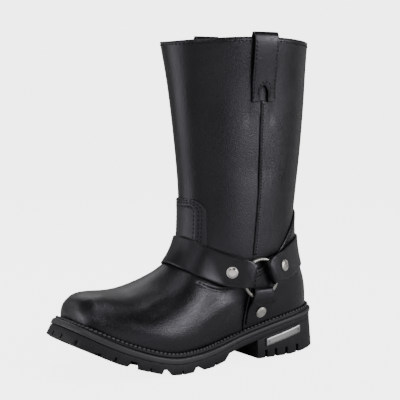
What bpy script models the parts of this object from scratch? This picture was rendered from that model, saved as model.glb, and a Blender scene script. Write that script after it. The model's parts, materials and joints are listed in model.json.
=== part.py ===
import math

import bpy
import bmesh
import numpy as np
from mathutils import Vector
from mathutils.bvhtree import BVHTree

for item in list(bpy.data.objects):
    bpy.data.objects.remove(item, do_unlink=True)

# A left harness boot. Lengths below are millimetres: t runs from the back of the heel to
# the toe, x to the lateral side, z up from the floor.
SOLE_LENGTH = 286.0
TOE_SPRING = 37.4
SPRING_START = 182.5
SPRING_POWER = 1.62
GAP = 0.3

# plan outline of the sole: share of the length, lateral and medial half width
SOLE_OUTLINE = [
    (-0.0055, 10.6, 10.6), (0.0085, 18.8, 18.8), (0.0415, 28.0, 27.8), (0.0935, 35.0, 34.4),
    (0.1613, 38.0, 37.0), (0.2581, 37.6, 35.2), (0.3548, 37.0, 32.2), (0.4516, 40.4, 33.0),
    (0.5484, 48.8, 40.0), (0.6452, 54.2, 49.6), (0.7258, 54.2, 54.2), (0.8065, 50.6, 54.0),
    (0.8871, 44.6, 50.0), (0.9450, 37.2, 44.6), (0.9890, 26.4, 36.8), (1.0085, 12.6, 25.4)]
HEEL_POINT_SHARE = -0.0119
TOE_POINT_SHARE = 1.0150
TOE_POINT_SIDE = -7.0

# heights of the sole's stack: share of the length, top of the midsole above the tread
# plane, midsole thickness, outsole thickness behind the tread
SOLE_STACK = [
    (0.00, 43.4, 4.2, 5.4), (0.10, 40.2, 4.2, 5.4), (0.18, 36.4, 4.4, 5.6),
    (0.28, 30.4, 4.6, 5.8), (0.36, 25.0, 4.8, 6.0), (0.45, 18.8, 5.2, 6.0),
    (0.52, 16.6, 5.4, 6.0), (0.60, 15.9, 5.6, 6.0), (1.00, 15.9, 5.8, 6.0)]
STACK_MARKS = (108.0, 119.0, 130.0, 141.0, 152.0)
TREAD_STEP = 118.5
TREAD_REAR = 124.5
TREAD_FLAT = 142.0
TREAD_REAR_LIFT = 3.2
# extra depth of the tread under the toe: station, depth
TOE_DEPTH = [(222.0, 0.0), (248.0, 1.2), (274.0, 1.2), (288.0, 0.0)]
OUTSOLE_INSET = 0.5

HEEL_BREAST = 83.4
HEEL_FLAT = 50.0
HEEL_ROCKER = 3.0
HEEL_FLARE = 1.6
HEEL_BACK_FLARE = 3.0
HEEL_SLOTS = [73.0, 61.0, 47.4, 32.2]
SLOT_WIDTH = 3.2
SLOT_DEPTH = 8.0

# cuts of the tread: station at the edge, width at the floor, width at the root, shift of the
# root towards the toe, depth, run towards the middle, lean of the cut towards the heel
CHANNELS = [
    (163.0, 12.0, 2.6, 1.8, 4.4, 25.0, 16.0), (202.0, 10.5, 1.8, 2.6, 5.2, 25.0, 16.0),
    (236.4, 11.2, 7.4, 0.0, 5.2, 36.0, 24.0), (267.0, 9.4, 1.4, -3.6, 2.2, 16.0, 6.0)]
SIPES = [
    (138.0, 2.6, 1.6, 0.0, 4.2, 7.0, 0.0), (183.2, 2.6, 1.6, 0.0, 4.2, 7.0, 0.0),
    (218.6, 2.6, 1.6, 0.0, 4.2, 7.0, 0.0), (252.2, 2.6, 1.6, 0.0, 4.2, 7.0, 0.0)]
TOE_CUTS = [(24.0, 2.4, 4.2), (5.0, 2.4, 4.2), (-11.0, 2.4, 4.2), (-29.0, 2.4, 4.2)]
CUT_OVERSHOOT = 4.0

WELT_OUTER_INSET = 1.7
WELT_HEIGHT = 2.7
WELT_RISE = 0.9
WELT_INNER = 2.3

# inset of the upper's lower edge from the sole outline: share of the length, inset
SEAT_INSET = [
    (-0.0119, 8.2), (-0.0055, 7.9), (0.0085, 7.4), (0.0415, 6.2), (0.0935, 5.2), (0.30, 5.4),
    (0.50, 6.2), (1.00, 6.8)]
WALL = 2.2
INSOLE_THICK = 3.2
INSOLE_CLEAR = 0.9

# foot of the last: station, top of the section, side shift of the crest, lateral bulge,
# medial bulge, height of the widest line above the seat, squareness
LAST_SECTIONS = [
    (20.0, 66.0, 0.0, 0.5, 0.5, 12.0, 2.2), (60.0, 80.0, 0.0, 0.8, 0.8, 13.0, 2.2),
    (100.0, 94.0, 0.0, 1.6, 1.6, 16.0, 2.2), (122.0, 104.0, 0.0, 2.2, 2.6, 18.0, 2.1),
    (140.0, 111.0, -1.0, 2.8, 3.4, 18.0, 2.0), (152.0, 109.0, -2.0, 3.2, 3.4, 18.0, 1.95),
    (162.0, 101.5, -3.0, 3.2, 3.2, 18.0, 1.95), (176.0, 92.2, -4.5, 3.0, 3.0, 18.0, 2.0),
    (192.0, 84.6, -6.0, 2.8, 2.8, 18.0, 2.05), (208.0, 78.8, -7.0, 2.6, 2.6, 17.0, 2.15),
    (222.0, 76.0, -7.5, 2.2, 2.2, 15.0, 2.3), (240.0, 76.8, -7.5, 1.6, 1.6, 12.0, 2.4),
    (252.0, 78.4, -7.0, 1.0, 1.0, 9.0, 2.4), (261.0, 78.0, -6.5, 0.6, 0.6, 7.0, 2.35),
    (267.0, 75.0, -6.0, 0.3, 0.3, 5.0, 2.3), (270.6, 70.4, -6.0, 0.2, 0.2, 4.0, 2.2),
    (272.6, 65.0, -6.0, 0.1, 0.1, 3.0, 2.1), (274.0, 58.0, -6.0, 0.1, 0.1, 2.0, 2.1)]

# heel and shaft: height, back, front, lateral half, medial half, squareness
SHAFT_SECTIONS = [
    (26.0, 5.8, 126.0, 31.5, 31.5, 2.55), (44.0, 4.8, 130.0, 33.6, 33.2, 2.55),
    (60.0, 5.4, 134.0, 35.6, 35.2, 2.50), (75.0, 7.0, 138.0, 36.8, 36.4, 2.40),
    (90.0, 12.8, 143.0, 37.4, 37.0, 2.30), (105.0, 16.4, 147.0, 37.6, 37.4, 2.25),
    (120.0, 17.6, 149.2, 37.8, 37.8, 2.20), (135.0, 17.8, 150.4, 38.0, 38.0, 2.15),
    (147.0, 17.2, 150.6, 38.2, 38.2, 2.10), (160.0, 15.6, 150.6, 38.4, 38.4, 2.10),
    (180.0, 13.0, 151.6, 38.8, 38.8, 2.10), (200.0, 10.2, 153.7, 39.3, 39.3, 2.10),
    (220.0, 8.0, 156.0, 40.0, 40.0, 2.10), (240.0, 6.4, 158.3, 41.0, 41.0, 2.10),
    (260.0, 5.0, 160.9, 42.6, 42.6, 2.10), (280.0, 4.5, 163.4, 45.2, 45.2, 2.08),
    (300.0, 4.2, 166.5, 49.0, 49.0, 2.05), (326.0, 2.6, 171.2, 53.6, 53.6, 2.00)]
COLLAR_HEIGHT = 323.0
COLLAR_DIP = 4.6

# rings of the upper from the seat to the collar: front station, front height, back height,
# share of the seat's own curve
UPPER_RINGS = [
    (273.2, 59.5, 53.0, 1.00), (272.0, 66.0, 60.0, 1.00), (268.0, 73.6, 68.0, 1.00),
    (257.0, 78.6, 76.0, 1.00), (240.0, 77.2, 84.0, 1.00), (222.0, 76.3, 92.0, 1.00),
    (205.0, 79.6, 100.0, 0.95), (190.0, 85.4, 108.0, 0.85), (176.0, 92.6, 116.0, 0.70),
    (166.0, 100.8, 124.0, 0.50), (159.0, 110.5, 132.5, 0.30), (154.5, 122.0, 141.0, 0.12),
    (152.0, 136.0, 151.0, 0.0), (151.4, 152.0, 162.0, 0.0), (151.8, 172.0, 177.0, 0.0),
    (153.0, 193.0, 195.0, 0.0), (155.4, 215.0, 216.0, 0.0), (158.0, 238.0, 238.0, 0.0),
    (161.0, 261.0, 261.0, 0.0), (163.8, 283.0, 283.0, 0.0), (167.0, 304.0, 304.0, 0.0)]
RING_POINTS = 48

# vamp tongue and heel counter laid on the upper
OVERLAY_GAP = 0.4
OVERLAY_THICK = 1.1
TONGUE_BASE = 104.0
TONGUE_TOP = 163.5
TONGUE_HALF = 24.0
TONGUE_CORNER = 13.0
COUNTER_CENTRE = 62.0
# top line of the counter: station on either side, height
COUNTER_TOP = [
    (16.0, 148.5), (21.0, 146.5), (26.7, 141.5), (32.2, 134.5), (39.4, 126.5), (47.1, 118.5),
    (54.0, 111.5), (61.0, 104.5), (69.0, 98.0), (82.0, 92.0), (106.0, 86.0)]
COUNTER_FRONT_HIGH = 92.5
COUNTER_FRONT_LOW = 104.5

# harness: ring of wire on each ankle, three straps folded round it
RING_STATION = 84.0
RING_HEIGHT = 83.0
RING_RADIUS = 19.5
WIRE_RADIUS = 1.8
STRAP_THICK = 1.8
STRAP_LIFT = 1.9
FOLD_CLEAR = 0.35
FRONT_LEAN = 13.0
FRONT_FOLD = (-11.0, 14.4)
FRONT_SPREAD = (-13.0, 16.2)
REAR_LEAN = 24.0
REAR_FOLD = (-12.0, 13.0)
REAR_SPREAD = (-13.5, 15.0)
LOWER_FOLD = (-13.6, 8.6)
LOWER_SPREAD = (-16.8, 10.6)
FOLD_TAIL = 25.0
FRONT_STRAP_HALF = 16.0
FRONT_STRAP_MID = (158.0, 111.0)
FRONT_STRAP_DROP = 4.6
REAR_STRAP_HALF = 15.5
REAR_STRAP_MID = (14.0, 105.5)
REAR_STRAP_DROP = 0.7
LOWER_STRAP_EDGE = (-19.0, 13.6)
STUD_RADIUS = 5.8
STUD_HEIGHT = 2.2
STUD_LIFT = 0.6
FRONT_STUD_REACH = 33.5
REAR_STUD_REACH = 30.6
LOWER_STUD_REACH = 35.0

LOOP_HALF = 14.0
LOOP_THICK = 1.9
LOOP_STATION = 87.0
LOOP_LOW = 259.0
LOOP_FORK = 275.0
LOOP_INSIDE_LOW = 272.0
SEAM_HALF = 1.9
SEAM_THICK = 1.4
SEAM_TOP = 261.0
# side seam: height, station
SEAM_LINE = [(106.0, 88.4), (140.0, 85.2), (171.0, 83.0), (231.0, 82.8), (261.0, 83.4)]
SEAM_LOW = 106.0

PLATE_HALF = 22.0
PLATE_HIGH = 7.8
PLATE_THICK = 1.0
PLATE_STATION = 51.5
PLATE_LEVEL = 20.6
PLATE_RISE = 0.22


def column(table, k):
    return [row[k] for row in table]


def table_at(table, k, s):
    return np.interp(s, column(table, 0), column(table, k))


def smooth_at(table, k, s):
    xs = np.array(column(table, 0), float)
    ys = np.array(column(table, k), float)
    step = np.diff(ys) / np.diff(xs)
    slope = np.concatenate(([step[0]], (step[1:] + step[:-1]) / 2, [step[-1]]))
    flat = np.concatenate(([False], step[1:] * step[:-1] <= 0, [False]))
    slope = np.where(flat, 0.0, slope)
    s = np.clip(np.asarray(s, float), xs[0], xs[-1])
    i = np.clip(np.searchsorted(xs, s, side="right") - 1, 0, len(xs) - 2)
    h = xs[i + 1] - xs[i]
    u = (s - xs[i]) / h
    a = (1 + 2 * u) * (1 - u) ** 2
    b = u * (1 - u) ** 2
    c = u * u * (3 - 2 * u)
    d = u * u * (u - 1)
    return a * ys[i] + b * h * slope[i] + c * ys[i + 1] + d * h * slope[i + 1]


def smoothstep(x):
    x = np.clip(x, 0.0, 1.0)
    return x * x * (3 - 2 * x)


# outline of the sole as a dense closed curve with outward normals
def closed_curve(points, per):
    p = np.array(points, float)
    out = []
    n = len(p)
    for i in range(n):
        a, b, c, d = p[i - 1], p[i], p[(i + 1) % n], p[(i + 2) % n]
        for j in range(per):
            u = j / per
            out.append(0.5 * (2 * b + (c - a) * u + (2 * a - 5 * b + 4 * c - d) * u * u
                              + (3 * b - a - 3 * c + d) * u ** 3))
    return np.array(out)


def outline_points():
    lateral = [(s * SOLE_LENGTH, lat) for s, lat, med in SOLE_OUTLINE]
    medial = [(s * SOLE_LENGTH, -med) for s, lat, med in SOLE_OUTLINE]
    return [(HEEL_POINT_SHARE * SOLE_LENGTH, 0.0)] + lateral + [(TOE_POINT_SHARE * SOLE_LENGTH, TOE_POINT_SIDE)] + medial[::-1]


OUTLINE = closed_curve(outline_points(), 24)
EDGE = np.roll(OUTLINE, -1, 0) - np.roll(OUTLINE, 1, 0)
EDGE /= np.linalg.norm(EDGE, axis=1)[:, None]
OUTWARD = np.c_[-EDGE[:, 1], EDGE[:, 0]]
if np.mean(np.sum(OUTWARD * (OUTLINE - OUTLINE.mean(0)), axis=1)) < 0:
    OUTWARD = -OUTWARD
for again in range(12):
    OUTWARD = (np.roll(OUTWARD, 1, 0) + 2 * OUTWARD + np.roll(OUTWARD, -1, 0)) / 4
OUTWARD /= np.linalg.norm(OUTWARD, axis=1)[:, None]
TOE_INDEX = int(np.argmax(OUTLINE[:, 0]))


def inset_outline(inset):
    amount = np.asarray(inset)
    return OUTLINE - OUTWARD * (amount[:, None] if amount.ndim else amount)


def seat_inset():
    return table_at(SEAT_INSET, 1, OUTLINE[:, 0] / SOLE_LENGTH)


# ring indices: even in a mix of distance and turning, so heel and toe get more points
def ring_indices(count):
    step = np.linalg.norm(np.roll(OUTLINE, -1, 0) - OUTLINE, axis=1)
    turn = np.arccos(np.clip(np.sum(OUTWARD * np.roll(OUTWARD, -1, 0), axis=1), -1, 1))
    share = 0.5 * step / step.sum() + 0.5 * turn / turn.sum()
    run = np.concatenate(([0.0], np.cumsum(share)))
    half = count // 2
    middle = run[TOE_INDEX]
    marks = [middle * i / half for i in range(half)]
    marks += [middle + (1 - middle) * i / half for i in range(half)]
    return [int(np.argmin(np.abs(run[:-1] - m))) for m in marks]


RING = ring_indices(RING_POINTS)


def spring(t):
    k = np.clip((np.asarray(t, float) - SPRING_START) / (SOLE_LENGTH - SPRING_START), 0, None)
    return TOE_SPRING * k ** SPRING_POWER


def spring_tilt(t):
    k = np.clip((np.asarray(t, float) - SPRING_START) / (SOLE_LENGTH - SPRING_START), 0, None)
    rate = TOE_SPRING * SPRING_POWER / (SOLE_LENGTH - SPRING_START)
    return np.arctan(rate * k ** (SPRING_POWER - 1))


# point at a height above the tread plane, which bends up towards the toe
def on_sole(t, x, h):
    a = spring_tilt(t)
    return np.stack([t - h * np.sin(a), x + 0 * t, spring(t) + h * np.cos(a)], -1)


def stack_top(t):
    return smooth_at(SOLE_STACK, 1, np.asarray(t) / SOLE_LENGTH)


def band_thick(t):
    return table_at(SOLE_STACK, 2, np.asarray(t) / SOLE_LENGTH)


def shank_thick(t):
    return table_at(SOLE_STACK, 3, np.asarray(t) / SOLE_LENGTH)


def shank_under(t):
    return stack_top(t) - band_thick(t) - shank_thick(t)


def tread_under(t):
    knots = [TREAD_STEP, TREAD_REAR, TREAD_FLAT]
    levels = [float(shank_under(TREAD_STEP)), TREAD_REAR_LIFT, 0.0]
    deeper = table_at(TOE_DEPTH, 1, t)
    return np.where(np.asarray(t) <= TREAD_STEP, shank_under(t), np.interp(t, knots, levels) - deeper)


# turns points of the working frame into metres with the toe towards minus y
def metres(points):
    p = np.asarray(points, float).reshape(-1, 3)
    return np.c_[p[:, 1], SOLE_LENGTH / 2 - p[:, 0], p[:, 2]] * 0.001


def finish_mesh(name, verts, faces, look, smooth=True):
    mesh = bpy.data.meshes.new(name)
    mesh.from_pydata([tuple(v) for v in metres(verts)], [], [tuple(f) for f in faces])
    work = bmesh.new()
    work.from_mesh(mesh)
    bmesh.ops.remove_doubles(work, verts=work.verts, dist=1e-6)
    bmesh.ops.recalc_face_normals(work, faces=work.faces)
    work.to_mesh(mesh)
    work.free()
    for face in mesh.polygons:
        face.use_smooth = smooth
    obj = bpy.data.objects.new(name, mesh)
    bpy.context.scene.collection.objects.link(obj)
    mesh.materials.append(look)
    return obj


def look(name, colour, metallic, roughness):
    made = bpy.data.materials.new(name)
    made.use_nodes = True
    shader = made.node_tree.nodes["Principled BSDF"]
    shader.inputs["Base Color"].default_value = (*colour, 1.0)
    shader.inputs["Metallic"].default_value = metallic
    shader.inputs["Roughness"].default_value = roughness
    return made


def cut(obj, cutter):
    step = obj.modifiers.new("cut", "BOOLEAN")
    step.operation = "DIFFERENCE"
    step.solver = "EXACT"
    step.object = cutter
    cutter.hide_render = True
    cutter.display_type = "WIRE"
    bpy.context.view_layer.update()
    ready = bpy.data.meshes.new_from_object(obj.evaluated_get(bpy.context.evaluated_depsgraph_get()))
    obj.modifiers.remove(step)
    obj.data = ready
    bpy.data.objects.remove(cutter, do_unlink=True)


# half widths of an inset outline at a station
def side_tables(curve):
    toe = int(np.argmax(curve[:, 0]))
    heel = int(np.argmin(curve[:, 0]))
    order = np.arange(len(curve))
    lateral = curve[(heel + order[:(toe - heel) % len(curve) + 1]) % len(curve)]
    medial = curve[(toe + order[:(heel - toe) % len(curve) + 1]) % len(curve)][::-1]
    return lateral, medial


def half_widths(curve, t):
    lateral, medial = side_tables(curve)
    return np.interp(t, lateral[:, 0], lateral[:, 1]), np.interp(t, medial[:, 0], medial[:, 1])


# plate with straight cross lines at the stations, its top and bottom heights given by t
def plate(name, curve, stations, top, bottom, skin):
    lateral, medial = half_widths(curve, np.array(stations))
    verts = []
    faces = []
    for t, a, b in zip(stations, lateral, medial):
        for side in (a, b):
            for level in (top, bottom):
                verts.append(on_sole(np.float64(t), side, float(level(t))))
    for i in range(len(stations) - 1):
        a, b = 4 * i, 4 * i + 4
        faces += [(a, b, b + 2, a + 2), (a + 1, a + 3, b + 3, b + 1)]
        faces += [(a, a + 1, b + 1, b), (a + 2, b + 2, b + 3, a + 3)]
    last = 4 * (len(stations) - 1)
    faces += [(0, 2, 3, 1), (last, last + 1, last + 3, last + 2)]
    return finish_mesh(name, np.array(verts), faces, skin, False)


# stations of an outline: shares of its own run, close together at both ends
END_STEPS = [0.004, 0.014, 0.032, 0.060, 0.100]
MIDDLE_STEPS = [0.16, 0.22, 0.29, 0.36, 0.43, 0.50, 0.56, 0.62, 0.67, 0.72, 0.77, 0.815, 0.86]


def outline_stations(curve, extra=()):
    low, high = curve[:, 0].min(), curve[:, 0].max()
    shares = [0.0005] + END_STEPS + MIDDLE_STEPS + [1 - s for s in END_STEPS[::-1]] + [0.9995]
    marks = [low + s * (high - low) for s in shares]
    kept = [m for m in marks if all(abs(m - e) > 2.5 for e in extra)]
    return sorted(kept + list(extra))


RUBBER = look("rubber", (0.021, 0.021, 0.023), 0.0, 0.62)
EDGE_GREY = look("edge_grey", (0.045, 0.045, 0.050), 0.0, 0.5)
WELT_LEATHER = look("welt_leather", (0.012, 0.012, 0.013), 0.0, 0.55)
LEATHER = look("leather", (0.018, 0.018, 0.020), 0.0, 0.38)
LINING = look("lining", (0.030, 0.028, 0.027), 0.0, 0.8)
METAL = look("metal", (0.55, 0.53, 0.50), 1.0, 0.3)


# outsole with its tread cuts
def prism(low, high):
    count = len(low)
    faces = [tuple(range(count))[::-1], tuple(range(count, 2 * count))]
    for i in range(count):
        j = (i + 1) % count
        faces.append((i, j, count + j, count + i))
    return np.array(list(low) + list(high)), faces


def tread_cut(t, side, wide, root, shift, deep, run, lean):
    lateral, medial = half_widths(OUTLINE, np.array([t]))
    edge = float(lateral[0] if side > 0 else medial[0])
    low, high = [], []
    for reach in (7.0, -run):
        for h in (-CUT_OVERSHOOT, deep):
            half = (wide + (root - wide) * h / deep) / 2
            middle = t + shift * h / deep + lean * reach / run
            x = edge + side * reach
            order = (1, -1) if reach > 0 else (-1, 1)
            for o in order:
                (low if h < 0 else high).append(on_sole(np.float64(middle + o * half), x, h))
    return prism(low, high)


def toe_cut(x, wide, deep):
    low, high = [], []
    for t, o in ((SOLE_LENGTH + 12, 1), (SOLE_LENGTH + 12, -1), (SOLE_LENGTH - 11, -1), (SOLE_LENGTH - 11, 1)):
        low.append(on_sole(np.float64(t), x + o * wide / 2, -4.0))
        high.append(on_sole(np.float64(t), x + o * wide / 2, deep))
    return prism(low, high)


def joined(pieces):
    verts, faces, base = [], [], 0
    for v, f in pieces:
        verts.append(v)
        faces += [tuple(k + base for k in face) for face in f]
        base += len(v)
    return np.concatenate(verts), faces


outsole_curve = inset_outline(OUTSOLE_INSET)
outsole_marks = outline_stations(outsole_curve, (TREAD_STEP, TREAD_REAR, TREAD_FLAT, SPRING_START))
outsole = plate("outsole", outsole_curve, outsole_marks,
                lambda t: stack_top(t) - band_thick(t) - GAP, tread_under, RUBBER)
cutters = []
for side in (1, -1):
    for row in CHANNELS + SIPES:
        cutters.append(tread_cut(row[0], side, *row[1:]))
for row in TOE_CUTS:
    cutters.append(toe_cut(*row))
cut(outsole, finish_mesh("tread_cutter", *joined(cutters), RUBBER, False))

# heel block under the rear of the outsole
heel_curve = inset_outline(OUTSOLE_INSET)


def heel_bottom(t):
    return HEEL_ROCKER * smoothstep((HEEL_FLAT - t) / HEEL_FLAT)


heel_marks = [m for m in outline_stations(heel_curve) if m < HEEL_BREAST - 4] + [HEEL_BREAST]
heel_lat, heel_med = half_widths(heel_curve, np.array(heel_marks))
heel_verts, heel_faces = [], []
for t, a, b in zip(heel_marks, heel_lat, heel_med):
    back = HEEL_BACK_FLARE * (1 - t / HEEL_BREAST)
    for x in (a, b):
        heel_verts.append((t, x, float(shank_under(t)) - GAP))
        out = HEEL_FLARE * 0.6 * np.sign(x) * t / HEEL_BREAST if abs(x) > 1 else 0.0
        heel_verts.append((t - back, x + out, float(heel_bottom(t))))
for i in range(len(heel_marks) - 1):
    a, b = 4 * i, 4 * i + 4
    heel_faces += [(a, b, b + 2, a + 2), (a + 1, a + 3, b + 3, b + 1)]
    heel_faces += [(a, a + 1, b + 1, b), (a + 2, b + 2, b + 3, a + 3)]
last = 4 * (len(heel_marks) - 1)
heel_faces += [(0, 2, 3, 1), (last, last + 1, last + 3, last + 2)]
heel = finish_mesh("heel", np.array(heel_verts), heel_faces, RUBBER, False)
cutters = []
for t in HEEL_SLOTS:
    lateral, medial = half_widths(heel_curve, np.array([t]))
    for edge, side in ((float(lateral[0]), 1), (float(medial[0]), -1)):
        low, high = [], []
        for reach, o in ((7.0, 1), (7.0, -1), (-9.0, -1), (-9.0, 1)):
            low.append((t + o * SLOT_WIDTH / 2, edge + side * reach, -4.0))
            high.append((t + o * SLOT_WIDTH / 2, edge + side * reach, SLOT_DEPTH + float(heel_bottom(t))))
        cutters.append(prism(low, high))
cut(heel, finish_mesh("heel_cutter", *joined(cutters), RUBBER, False))

# midsole band and insole
midsole_curve = inset_outline(0.0)
plate("midsole", midsole_curve, outline_stations(midsole_curve, STACK_MARKS), stack_top,
      lambda t: stack_top(t) - band_thick(t), EDGE_GREY)
insole_curve = inset_outline(seat_inset() + WALL + INSOLE_CLEAR)
plate("insole", insole_curve, outline_stations(insole_curve),
      lambda t: stack_top(t) + GAP + INSOLE_THICK, lambda t: stack_top(t) + GAP, LINING)


# solid swept round the ring from a list of closed loops, each loop a row of points
def ring_solid(name, loops, skin, smooth=True):
    count = len(loops[0])
    verts = np.concatenate(loops)
    faces = []
    for k in range(len(loops)):
        a, b = k * count, ((k + 1) % len(loops)) * count
        for i in range(count):
            j = (i + 1) % count
            faces.append((a + i, a + j, b + j, b + i))
    return finish_mesh(name, verts, faces, skin, smooth)


def seat_loop(inset, above):
    curve = inset_outline(inset)[RING]
    t = curve[:, 0]
    return on_sole(t, curve[:, 1], stack_top(t) + above)


seat = seat_inset()
ring_solid("welt", [
    seat_loop(np.full(len(OUTLINE), WELT_OUTER_INSET), GAP),
    seat_loop(np.full(len(OUTLINE), WELT_OUTER_INSET + 0.5), GAP + WELT_HEIGHT),
    seat_loop(seat - WELT_INNER, GAP + WELT_HEIGHT + WELT_RISE),
    seat_loop(seat - GAP - 0.1, GAP)], WELT_LEATHER, False)

# upper: foot and shaft forms joined with a soft blend at the instep
seat_dense = inset_outline(seat)
seat_curve = on_sole(seat_dense[:, 0], seat_dense[:, 1], stack_top(seat_dense[:, 0]) + GAP)
SEAT_LAT, SEAT_MED = side_tables(seat_curve)


def seat_height(t):
    return np.interp(t, SEAT_LAT[:, 0], SEAT_LAT[:, 2])


def foot_reach(t, x, z):
    base = seat_height(t)
    lat = np.interp(t, SEAT_LAT[:, 0], SEAT_LAT[:, 1], right=-1e-3)
    med = -np.interp(t, SEAT_MED[:, 0], SEAT_MED[:, 1], right=1e-3)
    top = smooth_at(LAST_SECTIONS, 1, t)
    crest = smooth_at(LAST_SECTIONS, 2, t)
    mid = smooth_at(LAST_SECTIONS, 5, t)
    power = smooth_at(LAST_SECTIONS, 6, t)
    rise = np.clip((z - base - mid) / np.maximum(top - base - mid, 1.0), 0, None)
    xs = x - crest * np.minimum(rise, 1.0)
    lateral = xs > 0
    low = np.maximum(np.where(lateral, lat, med), 0.05)
    wide = low + np.where(lateral, smooth_at(LAST_SECTIONS, 3, t), smooth_at(LAST_SECTIONS, 4, t))
    under = np.clip((base + mid - z) / mid, 0, 1)
    here = low + (wide - low) * (1 - under ** 2)
    below = np.abs(xs) - here
    ratio = ((np.abs(xs) / wide) ** power + rise ** power) ** (1 / power)
    away = np.sqrt(xs ** 2 + np.maximum(z - base - mid, 0) ** 2)
    above = away * (1 - 1 / np.maximum(ratio, 1e-3))
    beyond = (t < SEAT_LAT[0, 0]) | (t > SEAT_LAT[-1, 0])
    return np.where(beyond, 30.0, np.where(rise > 0, above, below))


def shaft_reach(t, x, z):
    back, front = smooth_at(SHAFT_SECTIONS, 1, z), smooth_at(SHAFT_SECTIONS, 2, z)
    half = np.where(x > 0, smooth_at(SHAFT_SECTIONS, 3, z), smooth_at(SHAFT_SECTIONS, 4, z))
    power = smooth_at(SHAFT_SECTIONS, 5, z)
    centre, length = (back + front) / 2, (front - back) / 2
    ratio = ((np.abs(t - centre) / length) ** power + (np.abs(x) / half) ** power) ** (1 / power)
    return np.hypot(t - centre, x) * (1 - 1 / np.maximum(ratio, 1e-3))


def reach(t, x, z):
    a, b = foot_reach(t, x, z), shaft_reach(t, x, z)
    soft = 4.0 + 24.0 * smoothstep((t - 112.0) / 36.0) * smoothstep((z - 70.0) / 30.0)
    h = np.clip(1 - np.abs(a - b) / soft, 0, 1)
    return np.minimum(a, b) - h * h * soft / 4


def ring_rows(count):
    rows = [(float(SEAT_LAT[-1, 0]), float(SEAT_LAT[-1, 2]), float(SEAT_LAT[0, 2]), 1.0)]
    rows += UPPER_RINGS
    rows.append((171.0, COLLAR_HEIGHT, COLLAR_HEIGHT, 0.0))
    table = [(i, *row) for i, row in enumerate(rows)]
    marks = np.arange(len(rows)) if count is None else np.linspace(0, len(rows) - 1, count)
    return [[float(smooth_at(table, k, m)) for k in range(5)] for m in marks], len(rows) - 1


# height of a ring over the station
def ring_height(row, t):
    mark, front, front_z, back_z, weight = row
    back = 8.0
    share = (t - back) / (front - back)
    line = back_z + (front_z - back_z) * share
    chord = seat_height(back) + (seat_height(front) - seat_height(back)) * share
    return line + weight * (seat_height(np.clip(t, back, front)) - np.where(share > 1, seat_height(front), chord))


def upper_outer(count_rows, count_points):
    rows, top = ring_rows(count_rows)
    indices = RING if count_points == RING_POINTS else ring_indices(count_points)
    base = seat_curve[indices]
    loops = []
    steps = np.linspace(0, 1, 160)
    for row in rows:
        share = row[0] / top
        if row[0] < 1e-6:
            loops.append(base.copy())
            continue
        origin = 118.0 - 34.0 * smoothstep(share / 0.55)
        centre = np.array([origin, 0.0])
        foot = base[:, :2] - centre
        foot /= np.linalg.norm(foot, axis=1)[:, None]
        angle = 2 * np.pi * np.arange(count_points) / count_points
        oval = np.c_[-1.75 * np.cos(angle), np.sin(angle)]
        oval /= np.linalg.norm(oval, axis=1)[:, None]
        way = foot + (oval - foot) * smoothstep((share - 0.08) / 0.5)
        way /= np.linalg.norm(way, axis=1)[:, None]
        far = 190.0 * steps[None, :]

        def outside(r):
            t, x = centre[0] + way[:, :1] * r, way[:, 1:] * r
            return reach(t, x, ring_height(row, t))

        value = outside(far)
        first = np.argmax(value > 0, axis=1)
        low = far[0, np.maximum(first - 1, 0)][:, None]
        high = far[0, first][:, None]
        for again in range(24):
            mid = (low + high) / 2
            inside = outside(mid) <= 0
            low, high = np.where(inside, mid, low), np.where(inside, high, mid)
        t, x = centre[0] + way[:, :1] * low, way[:, 1:] * low
        loop = np.c_[t, x, ring_height(row, t)]
        near = 0.75 * (1 - smoothstep(row[0] / 2.2))
        flat = base.copy()
        flat[:, 2] = loop[:, 2]
        loop[:, :2] = loop[:, :2] * (1 - near) + flat[:, :2] * near
        loop[:, 2] = ring_height(row, loop[:, 0])
        dip = COLLAR_DIP * smoothstep((share - 0.86) / 0.14)
        along = (loop[:, 0] - loop[:, 0].mean()) / np.ptp(loop[:, 0]) * 2
        loop[:, 2] -= dip * along ** 2
        loops.append(loop)
    return np.array(loops)


def grid_normals(grid):
    around = np.roll(grid, -1, 1) - np.roll(grid, 1, 1)
    up = np.empty_like(grid)
    up[1:-1] = grid[2:] - grid[:-2]
    up[0], up[-1] = grid[1] - grid[0], grid[-1] - grid[-2]
    normal = np.cross(around, up)
    normal /= np.linalg.norm(normal, axis=2)[:, :, None]
    return normal


outer = upper_outer(None, RING_POINTS)
outer_normal = grid_normals(outer)
if outer_normal[-3, RING_POINTS // 4, 1] < 0:
    outer_normal = -outer_normal
inner = outer - WALL * outer_normal
inner[0] = seat_loop(seat + WALL, GAP)
flat_way = outer_normal[-1].copy()
flat_way[:, 2] = 0
flat_way /= np.linalg.norm(flat_way, axis=1)[:, None]
inner[-1] = outer[-1] - WALL * flat_way
upper = ring_solid("upper", list(outer) + list(inner[::-1]), LEATHER)

# finer copy of the outer surface, used only to lay the other pieces on it
fine = upper_outer(70, 144)
quads = []
for r in range(len(fine) - 1):
    for c in range(144):
        d = (c + 1) % 144
        quads.append((r * 144 + c, r * 144 + d, (r + 1) * 144 + d, (r + 1) * 144 + c))
SURFACE = BVHTree.FromPolygons([tuple(v) for v in fine.reshape(-1, 3)], quads)


EASE_REACH = 12.0


def hit(start, way):
    spot, normal, face, far = SURFACE.ray_cast(Vector(start), Vector(way).normalized())
    spot, normal = np.array(spot), np.array(normal)
    if normal @ np.array(way) < 0:
        normal = -normal
    return spot, normal


def settle(point, normal):
    way = -np.asarray(normal)
    start = np.asarray(point) - way * 40.0
    spot, facing, face, far = SURFACE.ray_cast(Vector(start), Vector(way))
    facing = np.array(facing)
    return np.array(spot), facing if facing @ way < 0 else -facing


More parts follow.
